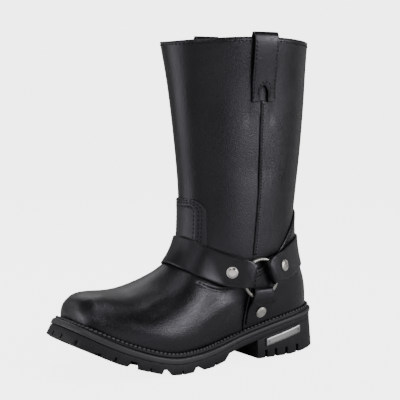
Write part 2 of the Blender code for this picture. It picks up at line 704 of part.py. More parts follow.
def tree_of(obj):
    mesh = obj.data
    points = [(1000 * (SOLE_LENGTH * 0.0005 - v.co[1]), 1000 * v.co[0], 1000 * v.co[2]) for v in mesh.vertices]
    return BVHTree.FromPolygons(points, [tuple(f.vertices) for f in mesh.polygons])


# pushes rows of points outward until their cells clear the pieces underneath
def eased(rows, outward, trees, clear):
    rows = np.array(rows, float)
    inner = [(0.0, 0.0), (0.5, 0.0), (0.0, 0.5), (0.5, 0.5), (1.0, 0.5), (0.5, 1.0), (0.25, 0.75), (0.75, 0.25)]
    for again in range(6):
        need = np.zeros(rows.shape[:2])
        for r in range(rows.shape[0] - 1):
            for c in range(rows.shape[1] - 1):
                worst = 0.0
                for a, b in inner:
                    share = np.array([[(1 - a) * (1 - b), (1 - a) * b], [a * (1 - b), a * b]])
                    spot = np.tensordot(share, rows[r:r + 2, c:c + 2], 2)
                    way = np.tensordot(share, outward[r:r + 2, c:c + 2], 2)
                    way /= np.linalg.norm(way)
                    for tree in trees:
                        far = tree.ray_cast(Vector(spot + way * EASE_REACH), Vector(-way))[3]
                        if far is not None and far < EASE_REACH + clear:
                            worst = max(worst, EASE_REACH + clear - far)
                if worst < 3.0:
                    need[r:r + 2, c:c + 2] = np.maximum(need[r:r + 2, c:c + 2], worst)
        rows += outward * need[:, :, None] * 0.7
    return rows


# closed sheet from rows of points on its two faces; cells left out give openings
def sheet(name, front, back, skin, keep=None):
    rows, cols = front.shape[:2]
    verts = np.concatenate([front.reshape(-1, 3), back.reshape(-1, 3)])
    shift = rows * cols
    faces, edges = [], {}
    for r in range(rows - 1):
        for c in range(cols - 1):
            if keep is not None and not keep(r, c):
                continue
            q = (r * cols + c, r * cols + c + 1, (r + 1) * cols + c + 1, (r + 1) * cols + c)
            faces.append(q)
            faces.append(tuple(k + shift for k in q[::-1]))
            for a, b in zip(q, q[1:] + q[:1]):
                if (b, a) in edges:
                    del edges[(b, a)]
                else:
                    edges[(a, b)] = True
    for a, b in edges:
        faces.append((b, a, a + shift, b + shift))
    used = sorted({k for f in faces for k in f})
    place = {k: i for i, k in enumerate(used)}
    return finish_mesh(name, verts[used], [tuple(place[k] for k in f) for f in faces], skin)


def laid_sheet(name, spots, normals, lift, thick, skin, keep=None):
    back = eased(spots + normals * lift, normals, [WALL_TREE], lift)
    return sheet(name, back + normals * thick, back, skin, keep)


WALL_TREE = tree_of(upper)

# vamp tongue on the front of the shaft
tongue_rows = [TONGUE_BASE, 112.0, 120.0, 128.0, 136.0, 144.0, 151.0, 156.5, 160.5, 162.8, TONGUE_TOP]
spots, normals = np.zeros((len(tongue_rows), 9, 3)), np.zeros((len(tongue_rows), 9, 3))
for r, z in enumerate(tongue_rows):
    drop = max(0.0, (z - (TONGUE_TOP - TONGUE_CORNER)) / TONGUE_CORNER)
    half = TONGUE_HALF - TONGUE_CORNER * (1 - math.sqrt(max(0.0, 1 - drop * drop)))
    for c in range(9):
        spots[r, c], normals[r, c] = hit((100.0, half * (c / 4 - 1), z), (1.0, 0.0, 0.0))
tongue = laid_sheet("tongue", spots, normals, OVERLAY_GAP, OVERLAY_THICK, LEATHER)


# heel counter round the back
def counter_top(t):
    return smooth_at(COUNTER_TOP, 1, t)


def counter_spot(angle, z):
    return hit((COUNTER_CENTRE, 0.0, z), (-math.cos(angle), math.sin(angle), 0.0))


counter_cols = 25
counter_rows = 8
spots = np.zeros((counter_rows, counter_cols, 3))
normals = np.zeros((counter_rows, counter_cols, 3))
for c in range(counter_cols):
    u = 2 * c / (counter_cols - 1) - 1
    for r in range(counter_rows):
        share = r / (counter_rows - 1)
        front = COUNTER_FRONT_LOW + (COUNTER_FRONT_HIGH - COUNTER_FRONT_LOW) * smoothstep(share * 1.2)
        limit = math.pi / 2 + math.atan2(front - COUNTER_CENTRE, 36.0)
        angle = limit * math.copysign(abs(u) ** 0.94, u)
        z = 60.0
        for again in range(4):
            t = counter_spot(angle, z)[0][0]
            low = float(seat_height(t)) + WELT_HEIGHT + WELT_RISE + 0.9
            z = low + (float(counter_top(t)) - low) * share
        spots[r, c], normals[r, c] = counter_spot(angle, z)
counter = laid_sheet("counter", spots, normals, OVERLAY_GAP, OVERLAY_THICK, LEATHER)

# raised seams down both sides of the shaft
for side, name in ((1, "seam_lateral"), (-1, "seam_medial")):
    heights = np.linspace(SEAM_LOW, SEAM_TOP, 15)
    spots, normals = np.zeros((15, 3, 3)), np.zeros((15, 3, 3))
    for r, z in enumerate(heights):
        t = float(smooth_at(SEAM_LINE, 1, z))
        for c in range(3):
            spots[r, c], normals[r, c] = hit((t + SEAM_HALF * (c - 1), 0.0, z), (0.0, side, 0.0))
    back = eased(spots + normals * OVERLAY_GAP, normals, [WALL_TREE], OVERLAY_GAP)
    front = back + normals * SEAM_THICK
    front[:, 0] -= normals[:, 0] * SEAM_THICK * 0.6
    front[:, 2] -= normals[:, 2] * SEAM_THICK * 0.6
    sheet(name, front, back, LEATHER)


# pull loops folded over the collar, their outer ends forked round the seam
def wall_at(t, z, side):
    return hit((t, 0.0, min(z, COLLAR_HEIGHT - 1.5)), (0.0, side, 0.0))


loop_path = [(LOOP_LOW, 0.5), (LOOP_LOW + 5.5, 0.5), (LOOP_LOW + 11.0, 0.7), (LOOP_FORK, 1.0),
             (288.0, 1.7), (301.0, 2.2), (312.0, 2.3), (319.0, 2.2), (324.4, 1.8), (327.0, 0.2)]
loop_inner = [(327.0, -2.6), (324.2, -4.3), (318.0, -5.0), (300.0, -5.0), (286.0, -5.0), (LOOP_INSIDE_LOW, -5.0)]
LOOP_SHARES = [-1.0, -0.72, -0.36, 0.0, 0.36, 0.72, 1.0]
for side, name in ((1, "pull_loop_lateral"), (-1, "pull_loop_medial")):
    path = loop_path + loop_inner
    mid = np.zeros((len(path), len(LOOP_SHARES), 3))
    for r, (z, off) in enumerate(path):
        lean = 4.0 * (z - COLLAR_HEIGHT) / 60.0
        for c, s in enumerate(LOOP_SHARES):
            t = LOOP_STATION + lean + s * LOOP_HALF * (0.96 if r < 3 else 1.0)
            spot, normal = wall_at(t, z, side)
            spot[2] = z
            flat = np.array([normal[0], normal[1], 0.0])
            mid[r, c] = spot + flat / np.linalg.norm(flat) * (off + LOOP_THICK / 2)
    ahead = np.gradient(mid, axis=0)
    across = np.gradient(mid, axis=1)
    normal = np.cross(ahead, across)
    normal /= np.linalg.norm(normal, axis=2)[:, :, None]
    if normal[2, 3, 1] * side < 0:
        normal = -normal
    sheet(name, mid + normal * LOOP_THICK / 2, mid - normal * LOOP_THICK / 2, LEATHER,
          lambda r, c: not (r < 3 and c in (2, 3)))


# frame of the ring on one ankle: centre, forward, up and outward directions
def ring_frame(side):
    spot, normal = hit((RING_STATION, 0.0, RING_HEIGHT), (0.0, side, 0.0))
    outward = np.array([normal[0] * 0.6, normal[1], normal[2] * 0.5])
    outward /= np.linalg.norm(outward)
    forward = np.array([1.0, 0.0, 0.0])
    forward -= outward * (forward @ outward)
    forward /= np.linalg.norm(forward)
    up = np.cross(outward, forward) if side < 0 else np.cross(forward, outward)
    if up[2] < 0:
        up = -up
    high = max((hit((RING_STATION + a, 0.0, RING_HEIGHT + b), (0.0, side, 0.0))[0] - spot) @ outward
               for a in (-24, -12, 0, 12, 24) for b in (-24, -12, 0, 12, 24))
    base = OVERLAY_GAP + OVERLAY_THICK + 0.5 + STRAP_THICK + FOLD_CLEAR + WIRE_RADIUS
    return spot + outward * (base + max(high, 0.0)), forward, up, outward


FRAMES = {side: ring_frame(side) for side in (1, -1)}
FOLD_MID = WIRE_RADIUS + FOLD_CLEAR + STRAP_THICK / 2


# axes of a strap in the ring's plane: away from the ring and across the strap
def strap_axes(side, lean, kind):
    centre, forward, up, outward = FRAMES[side]
    c, s = math.cos(math.radians(lean)), math.sin(math.radians(lean))
    if kind == "front":
        return forward * c + up * s, up * c - forward * s
    if kind == "rear":
        return -forward * c + up * s, up * c + forward * s
    return -up, forward


# middle line of the fold round the wire, from the tail to the top of the strap
def fold_line(fold):
    far = max(abs(fold[0]), abs(fold[1]))
    nearest = math.sqrt((RING_RADIUS - WIRE_RADIUS - FOLD_CLEAR) ** 2 - far ** 2)
    turn = nearest + 0.75 * (FOLD_MID - STRAP_THICK / 2)
    line = [(FOLD_TAIL, -FOLD_MID), ((FOLD_TAIL + turn) / 2, -FOLD_MID), (turn, -FOLD_MID)]
    for a in (-45, 0, 45):
        angle = math.radians(a)
        line.append((turn - FOLD_MID * 0.75 * math.cos(angle), FOLD_MID * math.sin(angle)))
    line += [(turn, FOLD_MID), ((RING_RADIUS + 2.4 + turn) / 2, FOLD_MID), (RING_RADIUS + 2.4, FOLD_MID)]
    return line


def fold_rows(side, kind, lean, fold, spread, shares):
    centre, forward, up, outward = FRAMES[side]
    away, across = strap_axes(side, lean, kind)
    line = fold_line(fold)
    start = line[-3][0]
    rows = []
    for i, (p, h) in enumerate(line):
        wider = (p - start) / (line[-1][0] - start) if i > len(line) - 3 else 0.0
        low = fold[0] + (spread[0] - fold[0]) * wider
        high = fold[1] + (spread[1] - fold[1]) * wider
        rows.append([centre + away * p + outward * h + across * (low + (high - low) * s) for s in shares])
    return rows


# strap built from rows of middle points: faces stand half its thickness to each side
def strap_solid(name, rows, out_hint, span):
    mid = np.array(rows)
    ahead = np.gradient(mid, axis=0)
    across = np.gradient(mid, axis=1)
    normal = np.cross(ahead, across)
    normal /= np.linalg.norm(normal, axis=2)[:, :, None]
    r, way = out_hint
    if normal[r, normal.shape[1] // 2] @ way < 0:
        normal = -normal
    first, last = span
    part = eased(mid[first:last], normal[first:last], STRAP_BED, STRAP_THICK / 2 + OVERLAY_GAP)
    mid = np.concatenate([mid[:first], part, mid[last:]])
    return sheet(name, mid + normal * STRAP_THICK / 2, mid - normal * STRAP_THICK / 2, LEATHER), mid, normal


SHARES = [0.0, 0.25, 0.5, 0.75, 1.0]
STRAP_BED = [WALL_TREE, tree_of(tongue), tree_of(counter)]


# body of a strap on the upper: rows at plan angles, each with a height and an extra lift
def body_rows(marks, origin, level, half, shares):
    rows = []
    for degrees, extra in marks:
        angle = math.radians(degrees)
        way = (math.cos(angle), math.sin(angle), 0.0)
        spot, normal = hit((origin, 0.0, level(angle)), way)
        nearby = hit((origin, 0.0, level(angle + 0.02)), (math.cos(angle + 0.02), math.sin(angle + 0.02), 0.0))[0]
        along = nearby - spot
        along /= np.linalg.norm(along)
        across = np.cross(normal, along)
        across *= 1 if across[2] > 0 else -1
        row = []
        for s in shares:
            point, facing = settle(spot + across * half * (2 * s - 1), normal)
            row.append(point + facing * (STRAP_LIFT + extra + STRAP_THICK / 2))
        rows.append(row)
    return rows


# front strap over the instep
FRONT_ORIGIN = 100.0
FRONT_MARKS = [(64.0, 2.8), (53.0, 1.1), (42.0, 0.3), (31.0, 0.0), (20.0, 0.0), (10.0, 0.0)]


def front_level(angle):
    side_level = RING_HEIGHT + 8.4
    return side_level + (FRONT_STRAP_MID[1] - side_level) * max(0.0, math.cos(angle)) ** FRONT_STRAP_DROP


def mirrored(marks, middle):
    return marks + [(middle, 0.0)] + [(2 * middle - angle, extra) for angle, extra in marks[::-1]]


body = body_rows(mirrored(FRONT_MARKS, 0.0), FRONT_ORIGIN, front_level, FRONT_STRAP_HALF, SHARES)
lead = fold_rows(1, "front", FRONT_LEAN, FRONT_FOLD, FRONT_SPREAD, SHARES)
trail = fold_rows(-1, "front", FRONT_LEAN, FRONT_FOLD, FRONT_SPREAD, SHARES)[::-1]
rows = lead + body + trail
strap, front_mid, front_normal = strap_solid("strap_front", rows, (len(rows) // 2, np.array([1.0, 0.0, 0.5])),
                                               (len(lead), len(rows) - len(trail)))

# rear strap round the heel
REAR_ORIGIN = 55.0
REAR_MARKS = [(103.0, 2.6), (114.0, 1.0), (126.0, 0.3), (140.0, 0.0), (153.0, 0.0), (166.0, 0.0)]


def rear_level(angle):
    side_level = RING_HEIGHT + 7.0
    return side_level + (REAR_STRAP_MID[1] - side_level) * max(0.0, -math.cos(angle)) ** REAR_STRAP_DROP


body = body_rows(mirrored(REAR_MARKS, 180.0), REAR_ORIGIN, rear_level, REAR_STRAP_HALF, SHARES)
lead = fold_rows(1, "rear", REAR_LEAN, REAR_FOLD, REAR_SPREAD, SHARES)
trail = fold_rows(-1, "rear", REAR_LEAN, REAR_FOLD, REAR_SPREAD, SHARES)[::-1]
rows = lead + body + trail
strap, rear_mid, rear_normal = strap_solid("strap_rear", rows, (len(rows) // 2, np.array([-1.0, 0.0, 0.2])),
                                             (len(lead), len(rows) - len(trail)))

# lower straps from the rings to the welt
LOWER_MARKS = [(57.0, 4.0), (52.0, 2.2), (47.0, 0.9), (42.0, 0.2), (37.8, 0.0)]
lower_mid, lower_normal = {}, {}
for side, name in ((1, "strap_lower_lateral"), (-1, "strap_lower_medial")):
    body = []
    for z, extra in LOWER_MARKS:
        share = (LOWER_MARKS[0][0] - z) / (LOWER_MARKS[0][0] - LOWER_MARKS[-1][0])
        low = LOWER_SPREAD[0] + (LOWER_STRAP_EDGE[0] - LOWER_SPREAD[0]) * share
        high = LOWER_SPREAD[1] + 1.0 + (LOWER_STRAP_EDGE[1] - LOWER_SPREAD[1] - 1.0) * share
        row = []
        for s in SHARES:
            t = RING_STATION + low + (high - low) * s
            spot, normal = hit((t, 0.0, z + 2.0 - 0.10 * (high - low) * s), (0.0, side, 0.0))
            row.append(spot + normal * (STRAP_LIFT + extra + STRAP_THICK / 2))
        body.append(row)
    lead = fold_rows(side, "lower", 0.0, LOWER_FOLD, LOWER_SPREAD, SHARES)
    rows = lead + body
    strap, lower_mid[side], lower_normal[side] = strap_solid(name, rows, (len(rows) - 2, np.array([0.0, side, 0.0])),
                                                           (len(lead), len(rows)))

# wire rings
for side, name in ((1, "ring_lateral"), (-1, "ring_medial")):
    centre, forward, up, outward = FRAMES[side]
    loops = []
    for k in range(8):
        a = 2 * math.pi * k / 8
        radius = RING_RADIUS + WIRE_RADIUS * math.cos(a)
        loops.append(np.array([centre + (forward * math.cos(b) + up * math.sin(b)) * radius
                               + outward * WIRE_RADIUS * math.sin(a)
                               for b in np.linspace(0, 2 * math.pi, 28, endpoint=False)]))
    ring_solid(name, loops, METAL)


# studs on the straps
def stud(name, spot, normal):
    normal = normal / np.linalg.norm(normal)
    a = np.cross(normal, (0.0, 0.0, 1.0))
    a /= np.linalg.norm(a)
    b = np.cross(normal, a)
    profile = [(STUD_RADIUS, 0.0), (STUD_RADIUS, 0.7), (STUD_RADIUS * 0.86, 1.5), (STUD_RADIUS * 0.5, STUD_HEIGHT)]
    verts, faces = [], []
    for radius, h in profile:
        for k in range(14):
            q = 2 * math.pi * k / 14
            verts.append(spot + normal * h + (a * math.cos(q) + b * math.sin(q)) * radius)
    for k in range(len(profile) - 1):
        for i in range(14):
            j = (i + 1) % 14
            faces.append((14 * k + i, 14 * k + j, 14 * k + 14 + j, 14 * k + 14 + i))
    faces.append(tuple(range(14))[::-1])
    faces.append(tuple(range(14 * (len(profile) - 1), 14 * len(profile))))
    return finish_mesh(name, np.array(verts), faces, METAL)


# spot on a strap's middle nearest to a reach from the ring
def strap_spot(mid, normal, side, reach_out, tops):
    centre = FRAMES[side][0]
    line = mid[:, mid.shape[1] // 2]
    hints = normal[:, mid.shape[1] // 2]
    order = [r for r in tops if line[r][1] * side > 0 or abs(line[r][1]) < 1]
    far = [np.linalg.norm(line[r] - centre) for r in order]
    spot = np.array([np.interp(reach_out, far, [line[r][k] for r in order]) for k in range(3)])
    facing = np.array([np.interp(reach_out, far, [hints[r][k] for r in order]) for k in range(3)])
    facing /= np.linalg.norm(facing)
    return spot + facing * (STRAP_THICK / 2 + STUD_LIFT), facing


fold_count = len(fold_line(FRONT_FOLD))
for side, end in ((1, "lateral"), (-1, "medial")):
    for kind, mid, normal, out in (("front", front_mid, front_normal, FRONT_STUD_REACH),
                                   ("rear", rear_mid, rear_normal, REAR_STUD_REACH)):
        count = len(mid)
        tops = range(fold_count - 1, count // 2) if side > 0 else range(count - fold_count, count // 2, -1)
        stud("stud_%s_%s" % (kind, end), *strap_spot(mid, normal, side, out, list(tops)))
    tops = list(range(fold_count - 1, len(lower_mid[side])))
    stud("stud_lower_%s" % end, *strap_spot(lower_mid[side], lower_normal[side], side, LOWER_STUD_REACH, tops))

# blank plate on the lateral side of the heel
plate_rows = []
for s in np.linspace(-1, 1, 9):
    t = PLATE_STATION + s * PLATE_HALF
    lateral = float(half_widths(heel_curve, np.array([t]))[0][0])
    ahead = half_widths(heel_curve, np.array([t - 1.0, t + 1.0]))[0]
    slope = math.atan2(float(ahead[1] - ahead[0]), 2.0)
    level = PLATE_LEVEL - s * PLATE_HALF * PLATE_RISE
    out = HEEL_FLARE * 0.6 * (t / HEEL_BREAST) * 0.9 + 0.35
    base = np.array([t, lateral, level]) + out * np.array([-math.sin(slope), math.cos(slope), 0.0])
    plate_rows.append((base, np.array([-math.sin(slope), math.cos(slope), 0.0])))
face_front, face_back = [], []
for base, way in plate_rows:
    face_front.append([base + way * PLATE_THICK + np.array([0, 0, z]) for z in (-PLATE_HIGH / 2, PLATE_HIGH / 2)])
    face_back.append([base + np.array([0, 0, z]) for z in (-PLATE_HIGH / 2, PLATE_HIGH / 2)])
sheet("heel_plate", np.array(face_front), np.array(face_back), METAL)

# whole boot centred over the origin, standing on the floor
every = [o for o in bpy.context.scene.collection.objects if o.type == "MESH"]
corners = np.array([tuple(v.co) for o in every for v in o.data.vertices])
low, high = corners.min(0), corners.max(0)
move = Vector((-(low[0] + high[0]) / 2, -(low[1] + high[1]) / 2, -low[2]))
for obj in every:
    for v in obj.data.vertices:
        v.co += move
    obj.data.update()
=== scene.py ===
import json
import math
import bmesh
import bpy
import numpy as np
from mathutils import Matrix, Vector
from mathutils.bvhtree import BVHTree

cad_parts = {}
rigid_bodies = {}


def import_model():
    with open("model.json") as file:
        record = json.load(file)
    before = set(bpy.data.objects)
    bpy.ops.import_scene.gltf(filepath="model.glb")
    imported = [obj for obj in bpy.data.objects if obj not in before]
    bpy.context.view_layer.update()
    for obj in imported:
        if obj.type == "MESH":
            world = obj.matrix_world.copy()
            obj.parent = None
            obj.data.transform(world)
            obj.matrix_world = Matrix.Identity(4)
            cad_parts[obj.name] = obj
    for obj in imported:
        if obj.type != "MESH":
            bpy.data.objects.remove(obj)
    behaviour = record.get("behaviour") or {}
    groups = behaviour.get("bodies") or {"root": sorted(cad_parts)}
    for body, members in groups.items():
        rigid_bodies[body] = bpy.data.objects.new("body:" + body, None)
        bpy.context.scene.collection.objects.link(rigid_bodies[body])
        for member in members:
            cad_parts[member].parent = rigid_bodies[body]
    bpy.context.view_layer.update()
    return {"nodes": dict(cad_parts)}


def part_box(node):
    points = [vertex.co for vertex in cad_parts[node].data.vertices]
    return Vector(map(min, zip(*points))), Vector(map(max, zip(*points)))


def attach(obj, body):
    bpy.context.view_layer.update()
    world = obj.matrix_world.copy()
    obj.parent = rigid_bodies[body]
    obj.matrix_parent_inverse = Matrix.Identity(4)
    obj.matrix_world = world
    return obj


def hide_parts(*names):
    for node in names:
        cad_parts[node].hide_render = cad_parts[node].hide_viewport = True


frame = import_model()
print("frame loaded:", len(frame["nodes"]), "nodes")

mm = 0.001  # one millimetre in the scene's metres
toMm = 1000  # and back
# where the boot lies: t runs from the heel's back to the toe, x to the lateral side, all in mm
bootPlace = {"middle": 141.894, "shaftMiddle": 84.0, "collarTop": 323.0, "collarDip": 4.6}


def toRow(t, x, z):
    return Vector((x, bootPlace["middle"] - t, z)) * mm


def alongWay(t, x, z):
    return Vector((x, -t, z)).normalized()


# selection and mesh helpers; angles in degrees
copySet = {"weld": 0.02, "flatAngle": 70, "shapeAngle": 140}


def clearSelection():
    if bpy.context.object and bpy.context.object.mode != "OBJECT":
        bpy.ops.object.mode_set(mode="OBJECT")
    bpy.ops.object.select_all(action="DESELECT")


def takeUp(piece):
    clearSelection()
    piece.select_set(True)
    bpy.context.view_layer.objects.active = piece


def cleanCopy(node, name):
    piece = bpy.data.objects.new(name, frame["nodes"][node].data.copy())
    bpy.context.scene.collection.objects.link(piece)
    piece.data.materials.clear()
    takeUp(piece)
    bpy.ops.mesh.customdata_custom_splitnormals_clear()
    bpy.ops.object.mode_set(mode="EDIT")
    bpy.ops.mesh.select_all(action="SELECT")
    bpy.ops.mesh.remove_doubles(threshold=copySet["weld"] * mm)
    bpy.ops.mesh.tris_convert_to_quads(face_threshold=math.radians(copySet["flatAngle"]),
                                       shape_threshold=math.radians(copySet["shapeAngle"]))
    bpy.ops.object.mode_set(mode="OBJECT")
    return piece


def holdEdges(piece, angle, amount):  # creases the edges that are sharper than the angle
    takeUp(piece)
    bpy.ops.object.mode_set(mode="EDIT")
    bpy.ops.mesh.select_mode(type="EDGE")
    bpy.ops.mesh.select_all(action="DESELECT")
    bpy.ops.mesh.edges_select_sharp(sharpness=math.radians(angle))
    bpy.ops.transform.edge_crease(value=amount)
    bpy.ops.object.mode_set(mode="OBJECT")


def useModifier(piece, kind, **settings):
    takeUp(piece)
    step = piece.modifiers.new(kind.lower(), kind)
    for key, value in settings.items():
        setattr(step, key, value)
    bpy.ops.object.modifier_apply(modifier=step.name)


def smoothOut(piece, levels):
    useModifier(piece, "SUBSURF", levels=levels, render_levels=levels)
    takeUp(piece)
    bpy.ops.object.shade_smooth()


def vertexArray(piece):
    flat = np.empty(len(piece.data.vertices) * 3)
    piece.data.vertices.foreach_get("co", flat)
    return flat.reshape(-1, 3)


def setVertices(piece, points):
    piece.data.vertices.foreach_set("co", np.asarray(points, float).ravel())
    piece.data.update()


def skinTree(piece):
    mesh = piece.data
    return BVHTree.FromPolygons([v.co[:] for v in mesh.vertices], [f.vertices[:] for f in mesh.polygons])


def meshPiece(name, points, faces):
    mesh = bpy.data.meshes.new(name)
    mesh.from_pydata([tuple(p) for p in points], [], [tuple(f) for f in faces])
    piece = bpy.data.objects.new(name, mesh)
    bpy.context.scene.collection.objects.link(piece)
    takeUp(piece)
    bpy.ops.object.mode_set(mode="EDIT")
    bpy.ops.mesh.select_all(action="SELECT")
    bpy.ops.mesh.normals_make_consistent(inside=False)
    bpy.ops.object.mode_set(mode="OBJECT")
    bpy.ops.object.shade_smooth()
    return piece


def handOver(piece, finish, slotName, *nodes):
    piece.data.materials.append(finish)
    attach(piece, "root")
    if nodes:
        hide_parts(*nodes)


# finishes
def newFinish(name):
    finish = bpy.data.materials.new(name)
    finish.use_nodes = True
    tree = finish.node_tree
    return finish, tree, tree.nodes["Principled BSDF"]


def addNode(tree, kind, links=None, **values):
    made = tree.nodes.new(kind)
    for key, value in values.items():
        if hasattr(made, key):
            setattr(made, key, value)
        else:
            made.inputs[key.replace("_", " ")].default_value = value
    for key, source in (links or {}).items():
        tree.links.new(source, made.inputs[key])
    return made


def noiseAt(tree, where, scale, detail=2.0):
    return addNode(tree, "ShaderNodeTexNoise", {"Vector": where}, Scale=scale, Detail=detail)


def spread(tree, source, low, high, fromLow=0.3, fromHigh=0.7):
    made = addNode(tree, "ShaderNodeMapRange", {"Value": source})
    for key, value in (("From Min", fromLow), ("From Max", fromHigh), ("To Min", low), ("To Max", high)):
        made.inputs[key].default_value = value
    return made.outputs["Result"]


def tint(tree, source, dark, pale):
    made = addNode(tree, "ShaderNodeMix", data_type="RGBA")
    made.inputs["A"].default_value = (*dark, 1)
    made.inputs["B"].default_value = (*pale, 1)
    tree.links.new(source, made.inputs["Factor"])
    return made.outputs["Result"]


# leather: colours and roughness from dark to pale, gloss, grain size and depth in metres
leatherLook = {
    "upper": dict(dark=(0.0030, 0.0029, 0.0034), pale=(0.0052, 0.0050, 0.0060),
                  rough=(0.27, 0.36), gloss=0.30, grain=0.00105, depth=0.00014),
    # tongue: the upper's black leather coloured lighter as painted light, and rougher and glossier
    "tongue": dict(dark=(0.0036, 0.0035, 0.0041), pale=(0.0062, 0.0060, 0.0071),
                   rough=(0.42, 0.52), gloss=0.40, grain=0.00095, depth=0.00014),
    "strap": dict(dark=(0.0026, 0.0025, 0.0030), pale=(0.0045, 0.0044, 0.0051),
                  rough=(0.31, 0.40), gloss=0.30, grain=0.00090, depth=0.00012)}
# the grain's cells bent by a slow noise, pores on top, broad patches for colour and sheen
grainSet = {"bendScale": 0.35, "bendPull": 0.8, "cellDome": (0.05, 0.75), "poreScale": 2.2,
            "poreDetail": 3.0, "poreShare": 0.55, "patchScale": 38.0, "patchDetail": 4.0, "bump": 0.7,
            "tint": (0.90, 0.885, 1.0)}


def leatherFinish(name, look):
    finish, tree, shader = newFinish(name)
    where = addNode(tree, "ShaderNodeTexCoord").outputs["Object"]
    bend = noiseAt(tree, where, grainSet["bendScale"] / look["grain"])
    pulled = addNode(tree, "ShaderNodeVectorMath", operation="MULTIPLY_ADD")
    tree.links.new(bend.outputs["Color"], pulled.inputs[0])
    pulled.inputs[1].default_value = (look["grain"] * grainSet["bendPull"],) * 3
    tree.links.new(where, pulled.inputs[2])
    cells = addNode(tree, "ShaderNodeTexVoronoi", {"Vector": pulled.outputs[0]}, Scale=1 / look["grain"])
    pores = noiseAt(tree, where, grainSet["poreScale"] / look["grain"], grainSet["poreDetail"])
    broad = noiseAt(tree, where, grainSet["patchScale"], grainSet["patchDetail"])
    dome = spread(tree, cells.outputs["Distance"], 1.0, 0.0, *grainSet["cellDome"])
    height = addNode(tree, "ShaderNodeMath", operation="MULTIPLY_ADD")
    tree.links.new(pores.outputs["Fac"], height.inputs[0])
    height.inputs[1].default_value = grainSet["poreShare"]
    tree.links.new(dome, height.inputs[2])
    bump = addNode(tree, "ShaderNodeBump", {"Height": height.outputs[0]},
                   Strength=grainSet["bump"], Distance=look["depth"])
    tree.links.new(tint(tree, broad.outputs["Fac"], look["dark"], look["pale"]), shader.inputs["Base Color"])
    tree.links.new(spread(tree, broad.outputs["Fac"], *look["rough"]), shader.inputs["Roughness"])
    tree.links.new(bump.outputs["Normal"], shader.inputs["Normal"])
    shader.inputs["Specular IOR Level"].default_value = look["gloss"]
    shader.inputs["Specular Tint"].default_value = (*grainSet["tint"], 1)
    return finish


# dull finishes: colours and roughness from dark to pale, scale of the specks and their depth in metres
dullLook = {
    "rubber": dict(dark=(0.0050, 0.0050, 0.0054), pale=(0.0085, 0.0085, 0.0090),
                   rough=(0.52, 0.68), speck=900.0, depth=0.00012),
    "band": dict(dark=(0.0200, 0.0200, 0.0215), pale=(0.0300, 0.0300, 0.0320),
                 rough=(0.40, 0.52), speck=700.0, depth=0.00006),
    "lining": dict(dark=(0.0300, 0.0288, 0.0280), pale=(0.0520, 0.0498, 0.0484),
                   rough=(0.78, 0.92), speck=420.0, depth=0.00030),
    "welt": dict(dark=(0.0022, 0.0022, 0.0024), pale=(0.0040, 0.0040, 0.0044),
                 rough=(0.52, 0.66), speck=800.0, depth=0.00012),
    "thread": dict(dark=(0.0012, 0.0012, 0.0013), pale=(0.0026, 0.0026, 0.0028),
                   rough=(0.55, 0.70), speck=2600.0, depth=0.00010),
    # grey thread for seams and welt: black thread lightened as painted sheen
    "greySheen": dict(dark=(0.0260, 0.0260, 0.0280), pale=(0.0520, 0.0520, 0.0560),
                  rough=(0.40, 0.54), speck=2600.0, depth=0.00010),
    # pinhole: near-black, painted shade of stitch and pin holes
    "pinhole": dict(dark=(0.0006, 0.0006, 0.0006), pale=(0.0012, 0.0012, 0.0012),
                    rough=(0.85, 0.95), speck=1500.0, depth=0.00005)}
speckSet = {"patchScale": 45.0, "detail": 3.0, "bump": 0.5, "gloss": 0.24, "tint": (0.92, 0.905, 1.0)}


def speckFinish(name, look):
    finish, tree, shader = newFinish(name)
    where = addNode(tree, "ShaderNodeTexCoord").outputs["Object"]
    broad = noiseAt(tree, where, speckSet["patchScale"], speckSet["detail"])
    speck = noiseAt(tree, where, look["speck"], speckSet["detail"])
    bump = addNode(tree, "ShaderNodeBump", {"Height": speck.outputs["Fac"]},
                   Strength=speckSet["bump"], Distance=look["depth"])
    tree.links.new(tint(tree, broad.outputs["Fac"], look["dark"], look["pale"]), shader.inputs["Base Color"])
    tree.links.new(spread(tree, speck.outputs["Fac"], *look["rough"]), shader.inputs["Roughness"])
    tree.links.new(bump.outputs["Normal"], shader.inputs["Normal"])
    shader.inputs["Specular IOR Level"].default_value = speckSet["gloss"]
    shader.inputs["Specular Tint"].default_value = (*speckSet["tint"], 1)
    return finish


# metals: colours and roughness from dark to pale, and how far the marks are drawn out each way
metalLook = {
    "nickel": dict(dark=(0.33, 0.316, 0.298), pale=(0.56, 0.542, 0.518),
                   rough=(0.24, 0.38), stretch=(260.0, 260.0, 260.0)),
    # wire: the studs' aged nickel, darkened further as painted shade on the rings
    "wire": dict(dark=(0.15, 0.143, 0.134), pale=(0.27, 0.261, 0.248),
                 rough=(0.26, 0.40), stretch=(260.0, 260.0, 260.0)),
    "plate": dict(dark=(0.20, 0.20, 0.203), pale=(0.33, 0.33, 0.334),
                  rough=(0.34, 0.50), stretch=(300.0, 30.0, 2600.0))}
markSet = {"detail": 3.0, "bump": 0.25, "depth": 0.00005}


def metalFinish(name, look):
    finish, tree, shader = newFinish(name)
    where = addNode(tree, "ShaderNodeTexCoord").outputs["Object"]
    drawn = addNode(tree, "ShaderNodeMapping", {"Vector": where}, Scale=look["stretch"])
    lines = noiseAt(tree, drawn.outputs[0], 1.0, markSet["detail"])
    bump = addNode(tree, "ShaderNodeBump", {"Height": lines.outputs["Fac"]},
                   Strength=markSet["bump"], Distance=markSet["depth"])
    tree.links.new(tint(tree, lines.outputs["Fac"], look["dark"], look["pale"]), shader.inputs["Base Color"])
    tree.links.new(spread(tree, lines.outputs["Fac"], *look["rough"]), shader.inputs["Roughness"])
    tree.links.new(bump.outputs["Normal"], shader.inputs["Normal"])
    shader.inputs["Metallic"].default_value = 1.0
    return finish


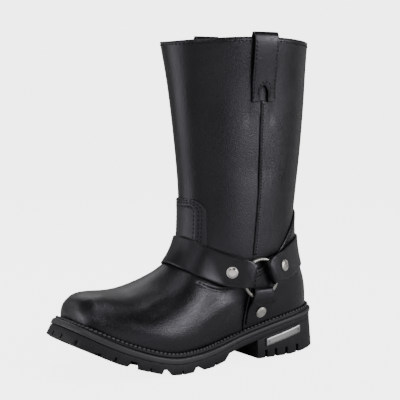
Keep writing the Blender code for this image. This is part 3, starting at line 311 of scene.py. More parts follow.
upperLeather = leatherFinish("upper_leather", leatherLook["upper"])
tongueLeatherPaintedLight = leatherFinish("tongue_leather", leatherLook["tongue"])
strapLeather = leatherFinish("strap_leather", leatherLook["strap"])
soleRubber = speckFinish("sole_rubber", dullLook["rubber"])
bandRubber = speckFinish("band_rubber", dullLook["band"])
bootLining = speckFinish("boot_lining", dullLook["lining"])
weltLeather = speckFinish("welt_leather", dullLook["welt"])
blackThread = speckFinish("black_thread", dullLook["thread"])
# painted sheen: grey stands in for the highlights on black thread
sheenPaintedThread = speckFinish("painted_sheen_thread", dullLook["greySheen"])
# painted shade: the dark inside a hole, laid on raised beads and pins
holeShadePaint = speckFinish("pinhole_shade_paint", dullLook["pinhole"])
agedNickel = metalFinish("aged_nickel", metalLook["nickel"])
shadeDarkenedWire = metalFinish("wire_painted_shade", metalLook["wire"])
brushedSteel = metalFinish("brushed_steel", metalLook["plate"])
print("finishes ready")

# upper: smooth shell with soft creases; outside and lining told apart across the sharp edges
upperSet = {"levels": 2, "edgeAngle": 50, "edgeHold": 0.7, "lookFrom": (200, 200),
            "rimFacing": 0.8, "rimAbove": 0.3}  # the look starts at x and z in mm, the rim lies above 0.3 m
upperSlots = {"outside": 0, "lining": 1, "rim": 2}
# places where the leather has narrow forms: t and z range, both sides; their faces are cut up and evened out
fineSpots = [dict(t=(100, 158), z=(62, 92)), dict(t=(254, 276), z=(48, 80))]
fineSet = {"cuts": 2, "smooth": 0.5, "repeat": 4}
# creases: ends as (t, z) on one side, side, half width, depth (mm, minus is a trough)
creases = [
    dict(start=(264, 78), end=(269, 54), side=1, half=3.4, depth=-0.34),
    dict(start=(270, 74), end=(275, 54), side=1, half=4.2, depth=0.25),
    dict(start=(257, 74), end=(259, 68), side=1, half=3.0, depth=0.45),
    dict(start=(263, 76), end=(270, 56), side=-1, half=3.4, depth=-0.7),
    dict(start=(216, 63), end=(186, 75), side=1, half=5.0, depth=0.9),
    dict(start=(222, 56), end=(188, 68), side=1, half=6.0, depth=-0.8),
    dict(start=(200, 80), end=(176, 86), side=1, half=5.0, depth=-0.5),
    dict(start=(205, 62), end=(170, 76), side=-1, half=8.0, depth=-0.9),
    dict(start=(158, 43), end=(110, 61), side=1, half=9.0, depth=0.9),
    dict(start=(60, 196), end=(112, 188), side=1, half=16.0, depth=-0.5),
    dict(start=(58, 172), end=(106, 176), side=-1, half=16.0, depth=-0.6),
    dict(start=(73, 255), end=(69, 240), side=1, half=4.0, depth=-0.9),
    dict(start=(96, 255), end=(100, 238), side=1, half=4.0, depth=-0.9),
    dict(start=(85, 256), end=(85, 247), side=1, half=3.0, depth=0.6),
    dict(start=(73, 255), end=(69, 240), side=-1, half=4.0, depth=-0.9),
    dict(start=(96, 255), end=(100, 238), side=-1, half=4.0, depth=-0.9)]
# how sharply a crease falls off sideways, its share at the ends and its gain from there; in mm, how far from
# the boot's middle it has faded in
pressSet = {"sharp": 1.4, "endShare": 0.35, "endGain": 4, "sideFade": 12.0}
# lower edge of the vamp wing under the front strap as t and z, its lip, the groove below and the stitches
wingSet = {"line": [(152.0, 83.5), (146.8, 80.8), (141.0, 78.0), (133.6, 75.3), (124.9, 73.3), (116.2, 72.8),
                    (108.0, 73.9)],
           "lip": dict(off=1.9, half=1.7, depth=0.55), "groove": dict(off=-1.2, half=1.3, depth=-0.45),
           "sewOff": 0.5, "sewRow": (151, 109, 30)}
for side in (1, -1):
    for edge in ("lip", "groove"):
        form = wingSet[edge]
        for a, b in zip(wingSet["line"][:-1], wingSet["line"][1:]):
            creases.append(dict(start=(a[0], a[1] + form["off"]), end=(b[0], b[1] + form["off"]), side=side,
                                half=form["half"], depth=form["depth"], joined=True))


def outsideFaces(piece):  # walks from the outermost face without crossing a sharp edge
    start = toRow(bootPlace["shaftMiddle"], *upperSet["lookFrom"])
    seen = skinTree(piece).ray_cast(start, alongWay(0, -1, 0))[2]
    work = bmesh.new()
    work.from_mesh(piece.data)
    work.faces.ensure_lookup_table()
    first = work.faces[seen]
    reached, front = {first.index}, [first]
    sharp = math.radians(upperSet["edgeAngle"])
    while front:
        face = front.pop()
        for edge in face.edges:
            if len(edge.link_faces) == 2 and edge.calc_face_angle(0) < sharp:
                for other in edge.link_faces:
                    if other.index not in reached:
                        reached.add(other.index)
                        front.append(other)
    work.free()
    return reached


def pressCreases(points, normals):
    t = bootPlace["middle"] - points[:, 1] * toMm
    x, z = points[:, 0] * toMm, points[:, 2] * toMm
    push = np.zeros(len(points))
    endShare = pressSet["endShare"]
    lines = {}
    for c in creases:
        a, b = np.array(c["start"], float), np.array(c["end"], float)
        run = b - a
        share = np.clip(((t - a[0]) * run[0] + (z - a[1]) * run[1]) / (run @ run), 0, 1)
        off = np.hypot(t - a[0] - share * run[0], z - a[1] - share * run[1]) / c["half"]
        fade = np.clip(np.minimum(share, 1 - share) * pressSet["endGain"], 0, 1)
        onSide = np.clip(x * c["side"] / pressSet["sideFade"], 0, 1)
        near = np.exp(-pressSet["sharp"] * off ** 2)
        if c.get("joined"):  # stretches of one line share their deepest press
            lines[c["depth"]] = np.maximum(lines.get(c["depth"], 0), near * onSide)
        else:
            push += c["depth"] * near * (endShare + (1 - endShare) * fade) * onSide
    for depth, share in lines.items():
        push += depth * share
    return points + normals * (push * mm)[:, None]


def refineSpots(piece):  # splits the outside faces where narrow forms are pressed in
    takeUp(piece)
    bpy.ops.object.mode_set(mode="EDIT")
    bpy.ops.mesh.select_mode(type="FACE")
    bpy.ops.mesh.select_all(action="DESELECT")
    work = bmesh.from_edit_mesh(piece.data)
    for face in work.faces:
        middle = face.calc_center_median() * toMm
        t = bootPlace["middle"] - middle.y
        face.select = face.material_index == upperSlots["outside"] and any(
            spot["t"][0] < t < spot["t"][1] and spot["z"][0] < middle.z < spot["z"][1] for spot in fineSpots)
    work.select_flush_mode()
    bmesh.update_edit_mesh(piece.data)
    bpy.ops.mesh.subdivide(number_cuts=fineSet["cuts"], smoothness=0.0)
    bpy.ops.mesh.select_more()
    bpy.ops.mesh.vertices_smooth(factor=fineSet["smooth"], repeat=fineSet["repeat"])
    bpy.ops.mesh.select_face_by_sides(number=4, type="GREATER", extend=False)
    bpy.ops.mesh.poke()  # the many-sided faces at the borders get a middle point
    bpy.ops.object.mode_set(mode="OBJECT")


upper = cleanCopy("upper", "boot_upper")
outside = outsideFaces(upper)
for face in upper.data.polygons:
    kind = "outside" if face.index in outside else "lining"
    if kind == "lining" and face.normal.z > upperSet["rimFacing"] and face.center.z > upperSet["rimAbove"]:
        kind = "rim"
    face.material_index = upperSlots[kind]
holdEdges(upper, upperSet["edgeAngle"], upperSet["edgeHold"])
smoothOut(upper, upperSet["levels"])
refineSpots(upper)
normals = np.array([v.normal[:] for v in upper.data.vertices])
isOutside = np.zeros(len(upper.data.vertices), bool)
for face in upper.data.polygons:
    if face.material_index == upperSlots["outside"]:
        isOutside[list(face.vertices)] = True
points = vertexArray(upper)
pressed = pressCreases(points, normals)
setVertices(upper, np.where(isOutside[:, None], pressed, points))
handOver(upper, upperLeather, "leather", "upper")
upper.data.materials.append(bootLining)
upper.data.materials.append(weltLeather)
upperSkin = skinTree(upper)
print("upper ready:", len(upper.data.polygons), "faces")

# pieces laid on the upper: CAD sheets rounded off at their cut edges
sheetSet = {"angle": 50, "hold": 0.62, "levels": 2}
swellSet = {"high": 1.7, "from": 14.0, "half": 4.2, "facing": 0.5, "facingGain": 3}  # from the ring's middle
sheetPieces = {}


def swellFolds(piece):  # lifts the strap's outer face a little before each fold
    points = vertexArray(piece)
    normals = np.array([v.normal[:] for v in piece.data.vertices])
    for end in ("lateral", "medial"):
        low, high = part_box("ring_" + end)
        middle = np.array((low + high) / 2)
        away = np.array([1.0 if end == "lateral" else -1.0, 0, 0])
        far = np.hypot(points[:, 1] - middle[1], points[:, 2] - middle[2]) * toMm
        facing = np.clip((normals @ away - swellSet["facing"]) * swellSet["facingGain"], 0, 1)
        facing = facing * (points[:, 0] * away[0] > 0)
        lift = swellSet["high"] * np.exp(-((far - swellSet["from"]) / swellSet["half"]) ** 2) * facing
        points = points + away * (lift * mm)[:, None]
    setVertices(piece, points)


# notch of the loops: its middle (t), half width and heights, how far its corners drop and its peak rises
archSet = {"middle": 83.6, "half": 5.0, "low": 259.0, "margin": 1, "top": 276.0, "drop": 5.6, "peak": 1.2,
           "rise": 13.0, "fadeOver": 2.0, "fade": 4.0, "near": 1.2}


def archNotch(piece):  # brings the square notch between the loop's legs to an arch
    points = vertexArray(piece)
    t, z = bootPlace["middle"] - points[:, 1] * toMm, points[:, 2] * toMm
    off = np.abs(t - archSet["middle"])
    inside = (z > archSet["low"] + archSet["margin"]) & (z < archSet["top"])
    share = np.clip((z - archSet["low"]) / archSet["rise"], 0, 1)
    share = share * np.clip((archSet["top"] + archSet["fadeOver"] - z) / archSet["fade"], 0, 1)
    onEdge = inside & (np.abs(off - archSet["half"]) < archSet["near"])
    onPeak = inside & (off < archSet["near"])
    points[:, 2] += (onPeak * archSet["peak"] - onEdge * archSet["drop"] * share) * mm
    setVertices(piece, points)


# outline of the tongue in mm, the leather that stands up between its stitches, and the rows of stitches
tongueSet = {"half": 24.0, "corner": 13.0, "top": 163.5, "low": 112.0, "levels": 3,
             "puffs": [dict(inset=2.9, half=0.8, high=0.25), dict(inset=6.0, half=1.5, high=0.55)],
             "puffFrom": 116.0, "puffFade": 5.0, "rows": (1.8, 4.0, 8.0), "cornerLeast": 3.0,
             "cornerFrom": 0.1, "acrossShare": 0.9, "sidePoints": 14, "cornerPoints": 10, "acrossPoints": 12}


def puffTongue(piece):  # raises its outer face between the rows, by the distance from its outline
    points = vertexArray(piece)
    normals = np.array([v.normal[:] for v in piece.data.vertices])
    z = points[:, 2] * toMm
    overSide = np.abs(points[:, 0]) * toMm - (tongueSet["half"] - tongueSet["corner"])
    overTop = z - (tongueSet["top"] - tongueSet["corner"])
    atCorner = (overSide > 0) & (overTop > 0)
    over = np.where(atCorner, np.hypot(overSide, overTop), np.maximum(overSide, overTop))
    inset = tongueSet["corner"] - over
    axis = np.array(toRow(bootPlace["shaftMiddle"], 0, 0))
    facing = np.sum((points - axis)[:, :2] * normals[:, :2], axis=1) > 0
    lift = sum(puff["high"] * np.exp(-((inset - puff["inset"]) / puff["half"]) ** 2)
               for puff in tongueSet["puffs"])
    lift = lift * facing * np.clip((z - tongueSet["puffFrom"]) / tongueSet["puffFade"], 0, 1)
    setVertices(piece, points + normals * (lift * mm)[:, None])


for node in ("tongue", "counter", "seam_lateral", "seam_medial", "pull_loop_lateral", "pull_loop_medial",
             "strap_front", "strap_rear", "strap_lower_lateral", "strap_lower_medial"):
    finish = upperLeather
    # the tongue's lighter colour is painted light
    if node == "tongue":
        finish = tongueLeatherPaintedLight
    if node.startswith("strap"):
        finish = strapLeather
    piece = cleanCopy(node, node + "_leather")
    if node.startswith("pull_loop"):
        archNotch(piece)
    holdEdges(piece, sheetSet["angle"], sheetSet["hold"])
    smoothOut(piece, tongueSet["levels"] if node == "tongue" else sheetSet["levels"])
    if node == "tongue":
        puffTongue(piece)
    if node in ("strap_front", "strap_rear"):
        swellFolds(piece)
    handOver(piece, finish, "leather", node)
    sheetPieces[node] = piece
print("straps, tongue, counter, seams and loops ready")

# sole band with a rounded edge, swept round the midsole's own outline
bandSet = {"steps": 4, "flatFacing": 0.6, "sameStation": 0.2, "softenTimes": 6, "smoothAngle": 50}
# section of the band: mm outwards, share of the height
bandProfile = [(-1.6, 1.0), (-0.75, 0.985), (-0.2, 0.93), (0.1, 0.83), (0.25, 0.66), (0.25, 0.36),
               (0.1, 0.16), (-0.3, 0.05), (-1.0, 0.0)]


def rimLoops(node):  # outline points of a plate's top and underside, in order round the sole
    piece = cleanCopy(node, "rim_reader")
    top, under = set(), set()
    for face in piece.data.polygons:
        if abs(face.normal.z) > bandSet["flatFacing"]:
            (top if face.normal.z > 0 else under).update(face.vertices)
    points = vertexArray(piece)
    loops = []
    for group in (top, under):
        p = points[sorted(group)]
        # middle of the sole at each point's station
        level = [np.abs(p[:, 1] - y) < bandSet["sameStation"] * mm for y in p[:, 1]]
        middle = np.array([p[same][:, 0].mean() for same in level])
        lateral = p[p[:, 0] >= middle]
        medial = p[p[:, 0] < middle]
        loops.append(np.concatenate([lateral[np.argsort(-lateral[:, 1])], medial[np.argsort(medial[:, 1])]]))
    bpy.data.objects.remove(piece, do_unlink=True)
    return loops


def roundLoop(loop, steps):  # a smooth curve through the loop's points
    out = []
    for i in range(len(loop)):
        a, b, c, d = loop[i - 1], loop[i], loop[(i + 1) % len(loop)], loop[(i + 2) % len(loop)]
        for j in range(steps):
            u = j / steps
            bow, twist = 2 * a - 5 * b + 4 * c - d, 3 * b - a - 3 * c + d
            out.append(0.5 * (2 * b + (c - a) * u + bow * u * u + twist * u ** 3))
    return np.array(out)


def outwardOf(loop):  # level directions away from the sole, evened out along the loop
    edge = np.roll(loop, -1, 0) - np.roll(loop, 1, 0)
    way = np.c_[edge[:, 1], -edge[:, 0], np.zeros(len(loop))]
    for again in range(bandSet["softenTimes"]):
        way = (np.roll(way, 1, 0) + 2 * way + np.roll(way, -1, 0)) / 4
    way /= np.linalg.norm(way, axis=1)[:, None]
    return way if np.mean(np.sum(way * (loop - loop.mean(0)), axis=1)) > 0 else -way


topLoop, underLoop = [roundLoop(loop, bandSet["steps"]) for loop in rimLoops("midsole")]
bandOut = outwardOf(topLoop)
rows = [underLoop + (topLoop - underLoop) * rise + bandOut * out * mm for out, rise in bandProfile]
count = len(topLoop)
faces, last = [], (len(rows) - 1) * count
for i in range(count // 2 - 1):  # strips across the sole, so that top and underside keep arch and toe spring
    j = count - 1 - i
    faces.append((i, i + 1, j - 1, j))
    faces.append((last + j, last + j - 1, last + i + 1, last + i))
for r in range(len(rows) - 1):
    for i in range(count):
        j = (i + 1) % count
        faces.append((r * count + i, r * count + j, (r + 1) * count + j, (r + 1) * count + i))
band = meshPiece("sole_band", np.concatenate(rows), faces)
takeUp(band)
bpy.ops.object.shade_smooth_by_angle(angle=math.radians(bandSet["smoothAngle"]))
handOver(band, bandRubber, "sole_edge", "midsole")

# tread, heel, welt and insole from the CAD forms with softened edges
treadSet = {"bevel": {"outsole": 0.45, "heel": 0.6}, "bevelSteps": 2, "bevelAngle": 40, "flatAngle": 0.6,
            "smoothAngle": 35}
weltSet = {"angle": 40, "hold": 0.55, "levels": 2, "sewInset": 3.3, "sewAbove": 14.0}
insoleSet = {"angle": 50, "hold": 0.8, "levels": 2}
for node, width in treadSet["bevel"].items():
    piece = cleanCopy(node, node + "_rubber")
    takeUp(piece)
    bpy.ops.object.mode_set(mode="EDIT")
    bpy.ops.mesh.select_all(action="SELECT")
    bpy.ops.mesh.dissolve_limited(angle_limit=math.radians(treadSet["flatAngle"]))
    bpy.ops.object.mode_set(mode="OBJECT")
    useModifier(piece, "BEVEL", width=width * mm, segments=treadSet["bevelSteps"], limit_method="ANGLE",
                angle_limit=math.radians(treadSet["bevelAngle"]), use_clamp_overlap=True)
    takeUp(piece)
    bpy.ops.object.shade_smooth_by_angle(angle=math.radians(treadSet["smoothAngle"]))
    handOver(piece, soleRubber, "rubber", node)
welt = cleanCopy("welt", "welt_strip")
holdEdges(welt, weltSet["angle"], weltSet["hold"])
smoothOut(welt, weltSet["levels"])
handOver(welt, weltLeather, "leather", "welt")
insole = cleanCopy("insole", "insole_board")
holdEdges(insole, insoleSet["angle"], insoleSet["hold"])
smoothOut(insole, insoleSet["levels"])
handOver(insole, bootLining, "lining", "insole")
print("sole ready")

# harness rings and studs, placed by their CAD nodes
ringSet = {"radius": 19.5, "wire": 1.8, "around": 96, "section": 20,
           "weldAt": 118, "weldWide": 5.0, "weldHigh": 0.10, "weldDip": 1.4, "dipSharp": 5}
# stud: rim and step as shares of the radius, the dome's rises in mm and the share that stays of its width
studSet = {"radius": 5.8, "around": 48, "flange": 0.75, "rim": 0.13, "dip": 0.25, "step": 0.05,
           "dome": ((0.50, 0.97), (0.26, 0.92), (0.14, 0.80), (0.05, 0.55)), "sink": 0.3,
           "bevel": 0.22, "bevelSteps": 2, "bevelAngle": 40, "smoothAngle": 50}
topFacing = 0.9  # a normal that rises more than this belongs to a top face


def nodeAxis(node):  # middle of a round node, its axis away from the boot, and how far it reaches back on it
    p = np.array([v.co[:] for v in frame["nodes"][node].data.vertices])
    p = np.unique(np.round(p, 6), axis=0)
    middle = (p.min(0) + p.max(0)) / 2
    axis = np.linalg.svd(p - p.mean(0))[2][2]
    away = middle - np.array(toRow(bootPlace["shaftMiddle"], 0, middle[2] * toMm))
    axis = axis if axis @ away > 0 else -axis
    reach = (p - middle) @ axis
    return Vector(middle), Vector(axis), reach.min()


def turnTo(axis):
    return axis.to_track_quat("Z", "Y").to_matrix().to_4x4()


def makeRing():  # wire bent round, with the swollen joint where its ends are welded
    clearSelection()
    bpy.ops.mesh.primitive_torus_add(
        major_radius=ringSet["radius"] * mm, minor_radius=ringSet["wire"] * mm,
        major_segments=ringSet["around"], minor_segments=ringSet["section"])
    ring = bpy.context.object
    points = vertexArray(ring)
    turn = np.degrees(np.arctan2(points[:, 1], points[:, 0]))
    core = points * np.array([1, 1, 0])
    core *= ringSet["radius"] * mm / np.linalg.norm(core, axis=1)[:, None]
    off = (turn - ringSet["weldAt"]) / ringSet["weldWide"]
    dip = ringSet["weldDip"] * np.exp(-(off * ringSet["dipSharp"]) ** 2)
    swell = 1 + ringSet["weldHigh"] * (np.exp(-off ** 2) - dip)
    setVertices(ring, core + (points - core) * swell[:, None])
    takeUp(ring)
    bpy.ops.object.shade_smooth()
    return ring


def selectTop(piece):  # leaves the piece in edit mode with its top face selected
    bpy.ops.object.mode_set(mode="EDIT")
    work = bmesh.from_edit_mesh(piece.data)
    for face in work.faces:
        face.select = face.normal.z > topFacing
    bmesh.update_edit_mesh(piece.data)


def makeStud():  # flange with a sunk ring and a dome drawn up inside it
    clearSelection()
    radius, flange = studSet["radius"] * mm, studSet["flange"] * mm
    bpy.ops.mesh.primitive_cylinder_add(vertices=studSet["around"], radius=radius, depth=flange,
                                        location=(0, 0, flange / 2))
    stud = bpy.context.object
    bpy.ops.object.transform_apply(location=True)
    selectTop(stud)
    bpy.ops.mesh.inset(thickness=radius * studSet["rim"])
    bpy.ops.transform.translate(value=(0, 0, -studSet["dip"] * mm))
    bpy.ops.mesh.inset(thickness=radius * studSet["step"])
    for lift, shrink in studSet["dome"]:
        bpy.ops.mesh.extrude_region_move(TRANSFORM_OT_translate={"value": (0, 0, lift * mm)})
        bpy.ops.transform.resize(value=(shrink, shrink, 1))
    bpy.ops.object.mode_set(mode="OBJECT")
    useModifier(stud, "BEVEL", width=studSet["bevel"] * mm, segments=studSet["bevelSteps"],
                limit_method="ANGLE", angle_limit=math.radians(studSet["bevelAngle"]))
    takeUp(stud)
    bpy.ops.object.shade_smooth_by_angle(angle=math.radians(studSet["smoothAngle"]))
    return stud


def copyTo(model, name, spot, axis, finish, slotName, *nodes):
    piece = bpy.data.objects.new(name, model.data.copy())
    bpy.context.scene.collection.objects.link(piece)
    piece.data.transform(Matrix.Translation(spot) @ turnTo(axis))
    handOver(piece, finish, slotName, *nodes)


ringModel, studModel = makeRing(), makeStud()
for end in ("lateral", "medial"):
    spot, axis = nodeAxis("ring_" + end)[:2]
    # the rings' darker nickel is partly painted shade
    copyTo(ringModel, "harness_ring_" + end, spot, axis, shadeDarkenedWire, "metal", "ring_" + end)
    for kind in ("front", "rear", "lower"):
        node = "stud_%s_%s" % (kind, end)
        spot, axis, low = nodeAxis(node)
        foot = spot + axis * (low - studSet["sink"] * mm)
        copyTo(studModel, node + "_rivet", foot, axis, agedNickel, "metal", node)
for model in (ringModel, studModel):
    bpy.data.objects.remove(model, do_unlink=True)
print("rings and studs ready")

# bare plate on the heel with a hollow pin at each end, painted near-black as the shade of a hole; the pin's
# rim, hollow and taper are shares
plateSet = {"angle": 50, "hold": 0.85, "levels": 2, "edge": 3.9, "pin": 1.0, "pinAround": 16, "pinDeep": 0.5,
            "pinInset": 3.0, "pinRim": 0.25, "pinHollow": 0.6, "pinTaper": 0.8, "pinAngle": 40,
            "lookFrom": 200}


def makePin():
    clearSelection()
    radius, deep = plateSet["pin"] * mm, plateSet["pinDeep"] * mm
    bpy.ops.mesh.primitive_cylinder_add(vertices=plateSet["pinAround"], radius=radius, depth=deep)
    pin = bpy.context.object
    selectTop(pin)
    bpy.ops.mesh.inset(thickness=radius * plateSet["pinRim"])
    bpy.ops.mesh.extrude_region_move(TRANSFORM_OT_translate={"value": (0, 0, -deep * plateSet["pinHollow"])})
    bpy.ops.transform.resize(value=(plateSet["pinTaper"], plateSet["pinTaper"], 1))
    bpy.ops.object.mode_set(mode="OBJECT")
    bpy.ops.object.shade_smooth_by_angle(angle=math.radians(plateSet["pinAngle"]))
    return pin


plate = cleanCopy("heel_plate", "heel_plate_steel")
holdEdges(plate, plateSet["angle"], plateSet["hold"])
smoothOut(plate, plateSet["levels"])
handOver(plate, brushedSteel, "plate", "heel_plate")
plateTree = skinTree(plate)
pinModel = makePin()
low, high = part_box("heel_plate")
inset, edge = plateSet["pinInset"] * mm, plateSet["edge"] * mm
for name, y in (("plate_pin_front", low.y + inset), ("plate_pin_back", high.y - inset)):
    share = (y - low.y) / (high.y - low.y)
    z = low.z + edge + (high.z - low.z - 2 * edge) * share
    spot, normal = plateTree.ray_cast(Vector((plateSet["lookFrom"] * mm, y, z)), Vector((-1, 0, 0)))[:2]
    # each pin carries the near-black painted shade of its hole
    copyTo(pinModel, name, spot, normal, holeShadePaint, "plate")
bpy.data.objects.remove(pinModel, do_unlink=True)
print("heel plate ready")

# stitches: one bead is shaped once and laid along each row, as thread and, near-black, as a raised bead
# painted with the shade of the pinhole after it
# sizes are length, width and height in mm; the places along a step and the lift off the leather are shares
stitchSet = {
    "fine": dict(pitch=4.2, bead=(2.3, 1.5, 0.9), hole=(0.8, 1.7, 0.5), holeAt=0.70, tilt=0.0),
    "rope": dict(pitch=3.1, bead=(3.2, 1.7, 1.9), hole=(1.5, 2.0, 1.2), holeAt=0.9, tilt=0.6),
    "welt": dict(pitch=4.5, bead=(4.3, 2.4, 2.0), hole=(1.4, 2.4, 0.9), holeAt=0.9, tilt=0.28)}
beadSet = {"segments": 6, "rings": 5, "radius": 0.5, "dip": 0.5, "beadAt": 0.4, "lift": 0.1}
rowGap = 12  # a longer step than this, in mm, is a break in the row
castFrom = {"side": 120, "front": 230, "round": 150}  # where the looks at the leather start from, in mm
clearSelection()
bpy.ops.mesh.primitive_uv_sphere_add(segments=beadSet["segments"], ring_count=beadSet["rings"],
                                     radius=beadSet["radius"])
bead = bpy.context.object
bead.data.transform(Matrix.Rotation(math.radians(90), 4, "Y"))
beadPoints = vertexArray(bead)
beadPoints[:, 2] -= beadSet["dip"] * beadPoints[:, 0] ** 2  # the thread dips at its ends
beadFaces = [tuple(f.vertices) for f in bead.data.polygons]
bpy.data.objects.remove(bead, do_unlink=True)


def castOn(tree, start, way):
    spot, normal = tree.ray_cast(start, way)[:2]
    if spot is None:
        return None
    return np.array(spot), np.array(normal if normal.dot(way) < 0 else -normal)


def castSide(tree, t, z, side):
    return castOn(tree, toRow(t, castFrom["side"] * side, z), alongWay(0, -side, 0))


def castRound(tree, centre, way, z):  # from outside towards an upright line at the centre
    start = toRow(centre + castFrom["round"] * way[0], castFrom["round"] * way[1], z)
    return castOn(tree, start, alongWay(-way[0], -way[1], 0))


# the hole beads are raised beads that carry the painted shade of the holes
def sewRow(hits, size, closed=False):  # beads at even steps along the points that were hit, and holes
    hits = [h for h in hits if h is not None]
    p = np.array([h[0] for h in hits])
    n = np.array([h[1] for h in hits])
    if closed:
        p, n = np.concatenate([p, p[:1]]), np.concatenate([n, n[:1]])
    run = np.concatenate([[0], np.cumsum(np.linalg.norm(np.diff(p, axis=0), axis=1))])
    step = size["pitch"] * mm
    laid = {"bead": [], "hole": []}
    for k in range(int(run[-1] / step)):
        for share, form in ((beadSet["beadAt"], "bead"), (size["holeAt"], "hole")):
            s = (k + share) * step
            i = max(1, min(int(np.searchsorted(run, s)), len(run) - 1))
            gap = run[i] - run[i - 1]
            if gap > rowGap * mm:
                continue
            u = (s - run[i - 1]) / max(gap, 1e-9)
            spot = p[i - 1] + (p[i] - p[i - 1]) * u
            up = n[i - 1] + (n[i] - n[i - 1]) * u
            up /= np.linalg.norm(up)
            ahead = p[i] - p[i - 1]
            ahead -= up * (ahead @ up)
            ahead /= np.linalg.norm(ahead)
            side = np.cross(up, ahead)
            c, d = math.cos(size["tilt"]), math.sin(size["tilt"])
            axes = np.array([ahead * c + side * d, side * c - ahead * d, up])
            scaled = beadPoints * np.array(size[form]) * mm
            laid[form].append(spot + up * size[form][2] * beadSet["lift"] * mm + scaled @ axes)
    return laid


def sewTogether(name, rows, thread=blackThread):
    beads = [b for row in rows for b in row["bead"]]
    holes = [h for row in rows for h in row["hole"]]
    size = len(beadPoints)
    faces = [tuple(v + k * size for v in f) for k in range(len(beads) + len(holes)) for f in beadFaces]
    piece = meshPiece(name, np.concatenate(beads + holes), faces)
    # second slot: the near-black painted shade of the holes
    handOver(piece, thread, "leather")
    piece.data.materials.append(holeShadePaint)
    for face in piece.data.polygons[len(beads) * len(beadFaces):]:
        face.material_index = 1


tongueTree = skinTree(sheetPieces["tongue"])
rows = []
for inset in tongueSet["rows"]:
    half, corner = tongueSet["half"] - inset, max(tongueSet["corner"] - inset, tongueSet["cornerLeast"])
    top = tongueSet["top"] - inset
    edge = [(half, z) for z in np.linspace(tongueSet["low"], top - corner, tongueSet["sidePoints"])]
    edge += [(half - corner + corner * math.cos(a), top - corner + corner * math.sin(a))
             for a in np.linspace(tongueSet["cornerFrom"], math.pi / 2, tongueSet["cornerPoints"])]
    share = tongueSet["acrossShare"]
    across = [(u * (half - corner), top) for u in np.linspace(share, -share, tongueSet["acrossPoints"])]
    line = edge + across + [(-x, z) for x, z in edge[::-1]]
    hits = [castOn(tongueTree, toRow(castFrom["front"], x, z), alongWay(-1, 0, 0)) for x, z in line]
    rows.append(sewRow(hits, stitchSet["fine"]))
sewTogether("tongue_stitches", rows)

# counter: its top edge as t and z with the rows below, and the rows down its front edges, which flare
counterSet = {"centre": 62.0, "reach": 36.0, "front": 92.5, "rows": (2.2, 4.8), "slope": 1.4,
              "top": [(16.0, 148.5), (21.0, 146.5), (26.7, 141.5), (32.2, 134.5), (39.4, 126.5),
                      (47.1, 118.5), (54.0, 111.5), (61.0, 104.5), (69.0, 98.0), (82.0, 92.0),
                      (106.0, 86.0)],
              "points": 90, "tries": 8, "startHeight": 70.0, "comeDown": 2.5, "frontRow": (86, 60, 12),
              "flare": 12.0, "flareBelow": 70.0, "flareOver": 40.0, "flarePower": 1.2}
counterTree = skinTree(sheetPieces["counter"])
rows = []
for inset in counterSet["rows"]:
    limit = math.pi / 2 + math.atan2(counterSet["front"] - inset - counterSet["centre"], counterSet["reach"])
    hits = []
    for angle in np.linspace(-limit, limit, counterSet["points"]):
        way = (-math.cos(angle), math.sin(angle))
        z, found = counterSet["startHeight"], None
        for again in range(counterSet["tries"]):
            hit = castRound(counterTree, counterSet["centre"], way, z)
            if hit is None:  # above the edge: come down until the counter is met
                z -= counterSet["comeDown"]
                continue
            found = hit
            t = bootPlace["middle"] - found[0][1] * toMm
            z = float(np.interp(t, *zip(*counterSet["top"]))) - inset * counterSet["slope"]
        hits.append(found)
    rows.append(sewRow(hits, stitchSet["fine"]))
    line = []
    for z in np.linspace(*counterSet["frontRow"]):
        below = max(0.0, (counterSet["flareBelow"] - z) / counterSet["flareOver"])
        flare = counterSet["flare"] * below ** counterSet["flarePower"]
        line.append((counterSet["front"] - inset + flare, z))
    for side in (1, -1):
        rows.append(sewRow([castSide(counterTree, t, z, side) for t, z in line], stitchSet["fine"]))
sewTogether("counter_stitches", rows)

rows = []
wingEdge = wingSet["line"][::-1]
line = [(t, float(np.interp(t, *zip(*wingEdge))) + wingSet["sewOff"])
        for t in np.linspace(*wingSet["sewRow"])]
for side in (1, -1):
    rows.append(sewRow([castSide(upperSkin, t, z, side) for t, z in line], stitchSet["fine"]))
sewTogether("wing_stitches", rows)

# pull loops: station (t) at the collar, lean per mm of height, rows along both edges and round the notch
loopSet = {"station": 87.0, "half": 14.0, "inset": 1.7, "lean": 4.0 / 60, "low": 262.0, "top": 320.0,
           "notch": 6.9, "notchTop": 279.0, "notchShift": -3.4, "notchLow": 263.0, "archFrom": 0.15,
           "edgePoints": 24, "legPoints": 6, "archPoints": 16}
rows = []
for side, end in ((1, "lateral"), (-1, "medial")):
    tree = skinTree(sheetPieces["pull_loop_" + end])
    for edge in (-1, 1):
        line = []
        for z in np.linspace(loopSet["low"], loopSet["top"], loopSet["edgePoints"]):
            middle = loopSet["station"] + loopSet["lean"] * (z - bootPlace["collarTop"])
            line.append((middle + edge * (loopSet["half"] - loopSet["inset"]), z))
        rows.append(sewRow([castSide(tree, t, z, side) for t, z in line], stitchSet["fine"]))
    middle, wide = loopSet["station"] + loopSet["notchShift"], loopSet["notch"]
    spring, first = loopSet["notchTop"] - wide, loopSet["archFrom"]
    leg = np.linspace(loopSet["notchLow"], spring, loopSet["legPoints"])
    line = [(middle - wide, z) for z in leg]
    line += [(middle - wide * math.cos(a), spring + wide * math.sin(a))
             for a in np.linspace(first, math.pi - first, loopSet["archPoints"])]
    line += [(middle + wide, z) for z in leg[::-1]]
    rows.append(sewRow([castSide(tree, t, z, side) for t, z in line], stitchSet["fine"]))
sewTogether("loop_stitches", rows)

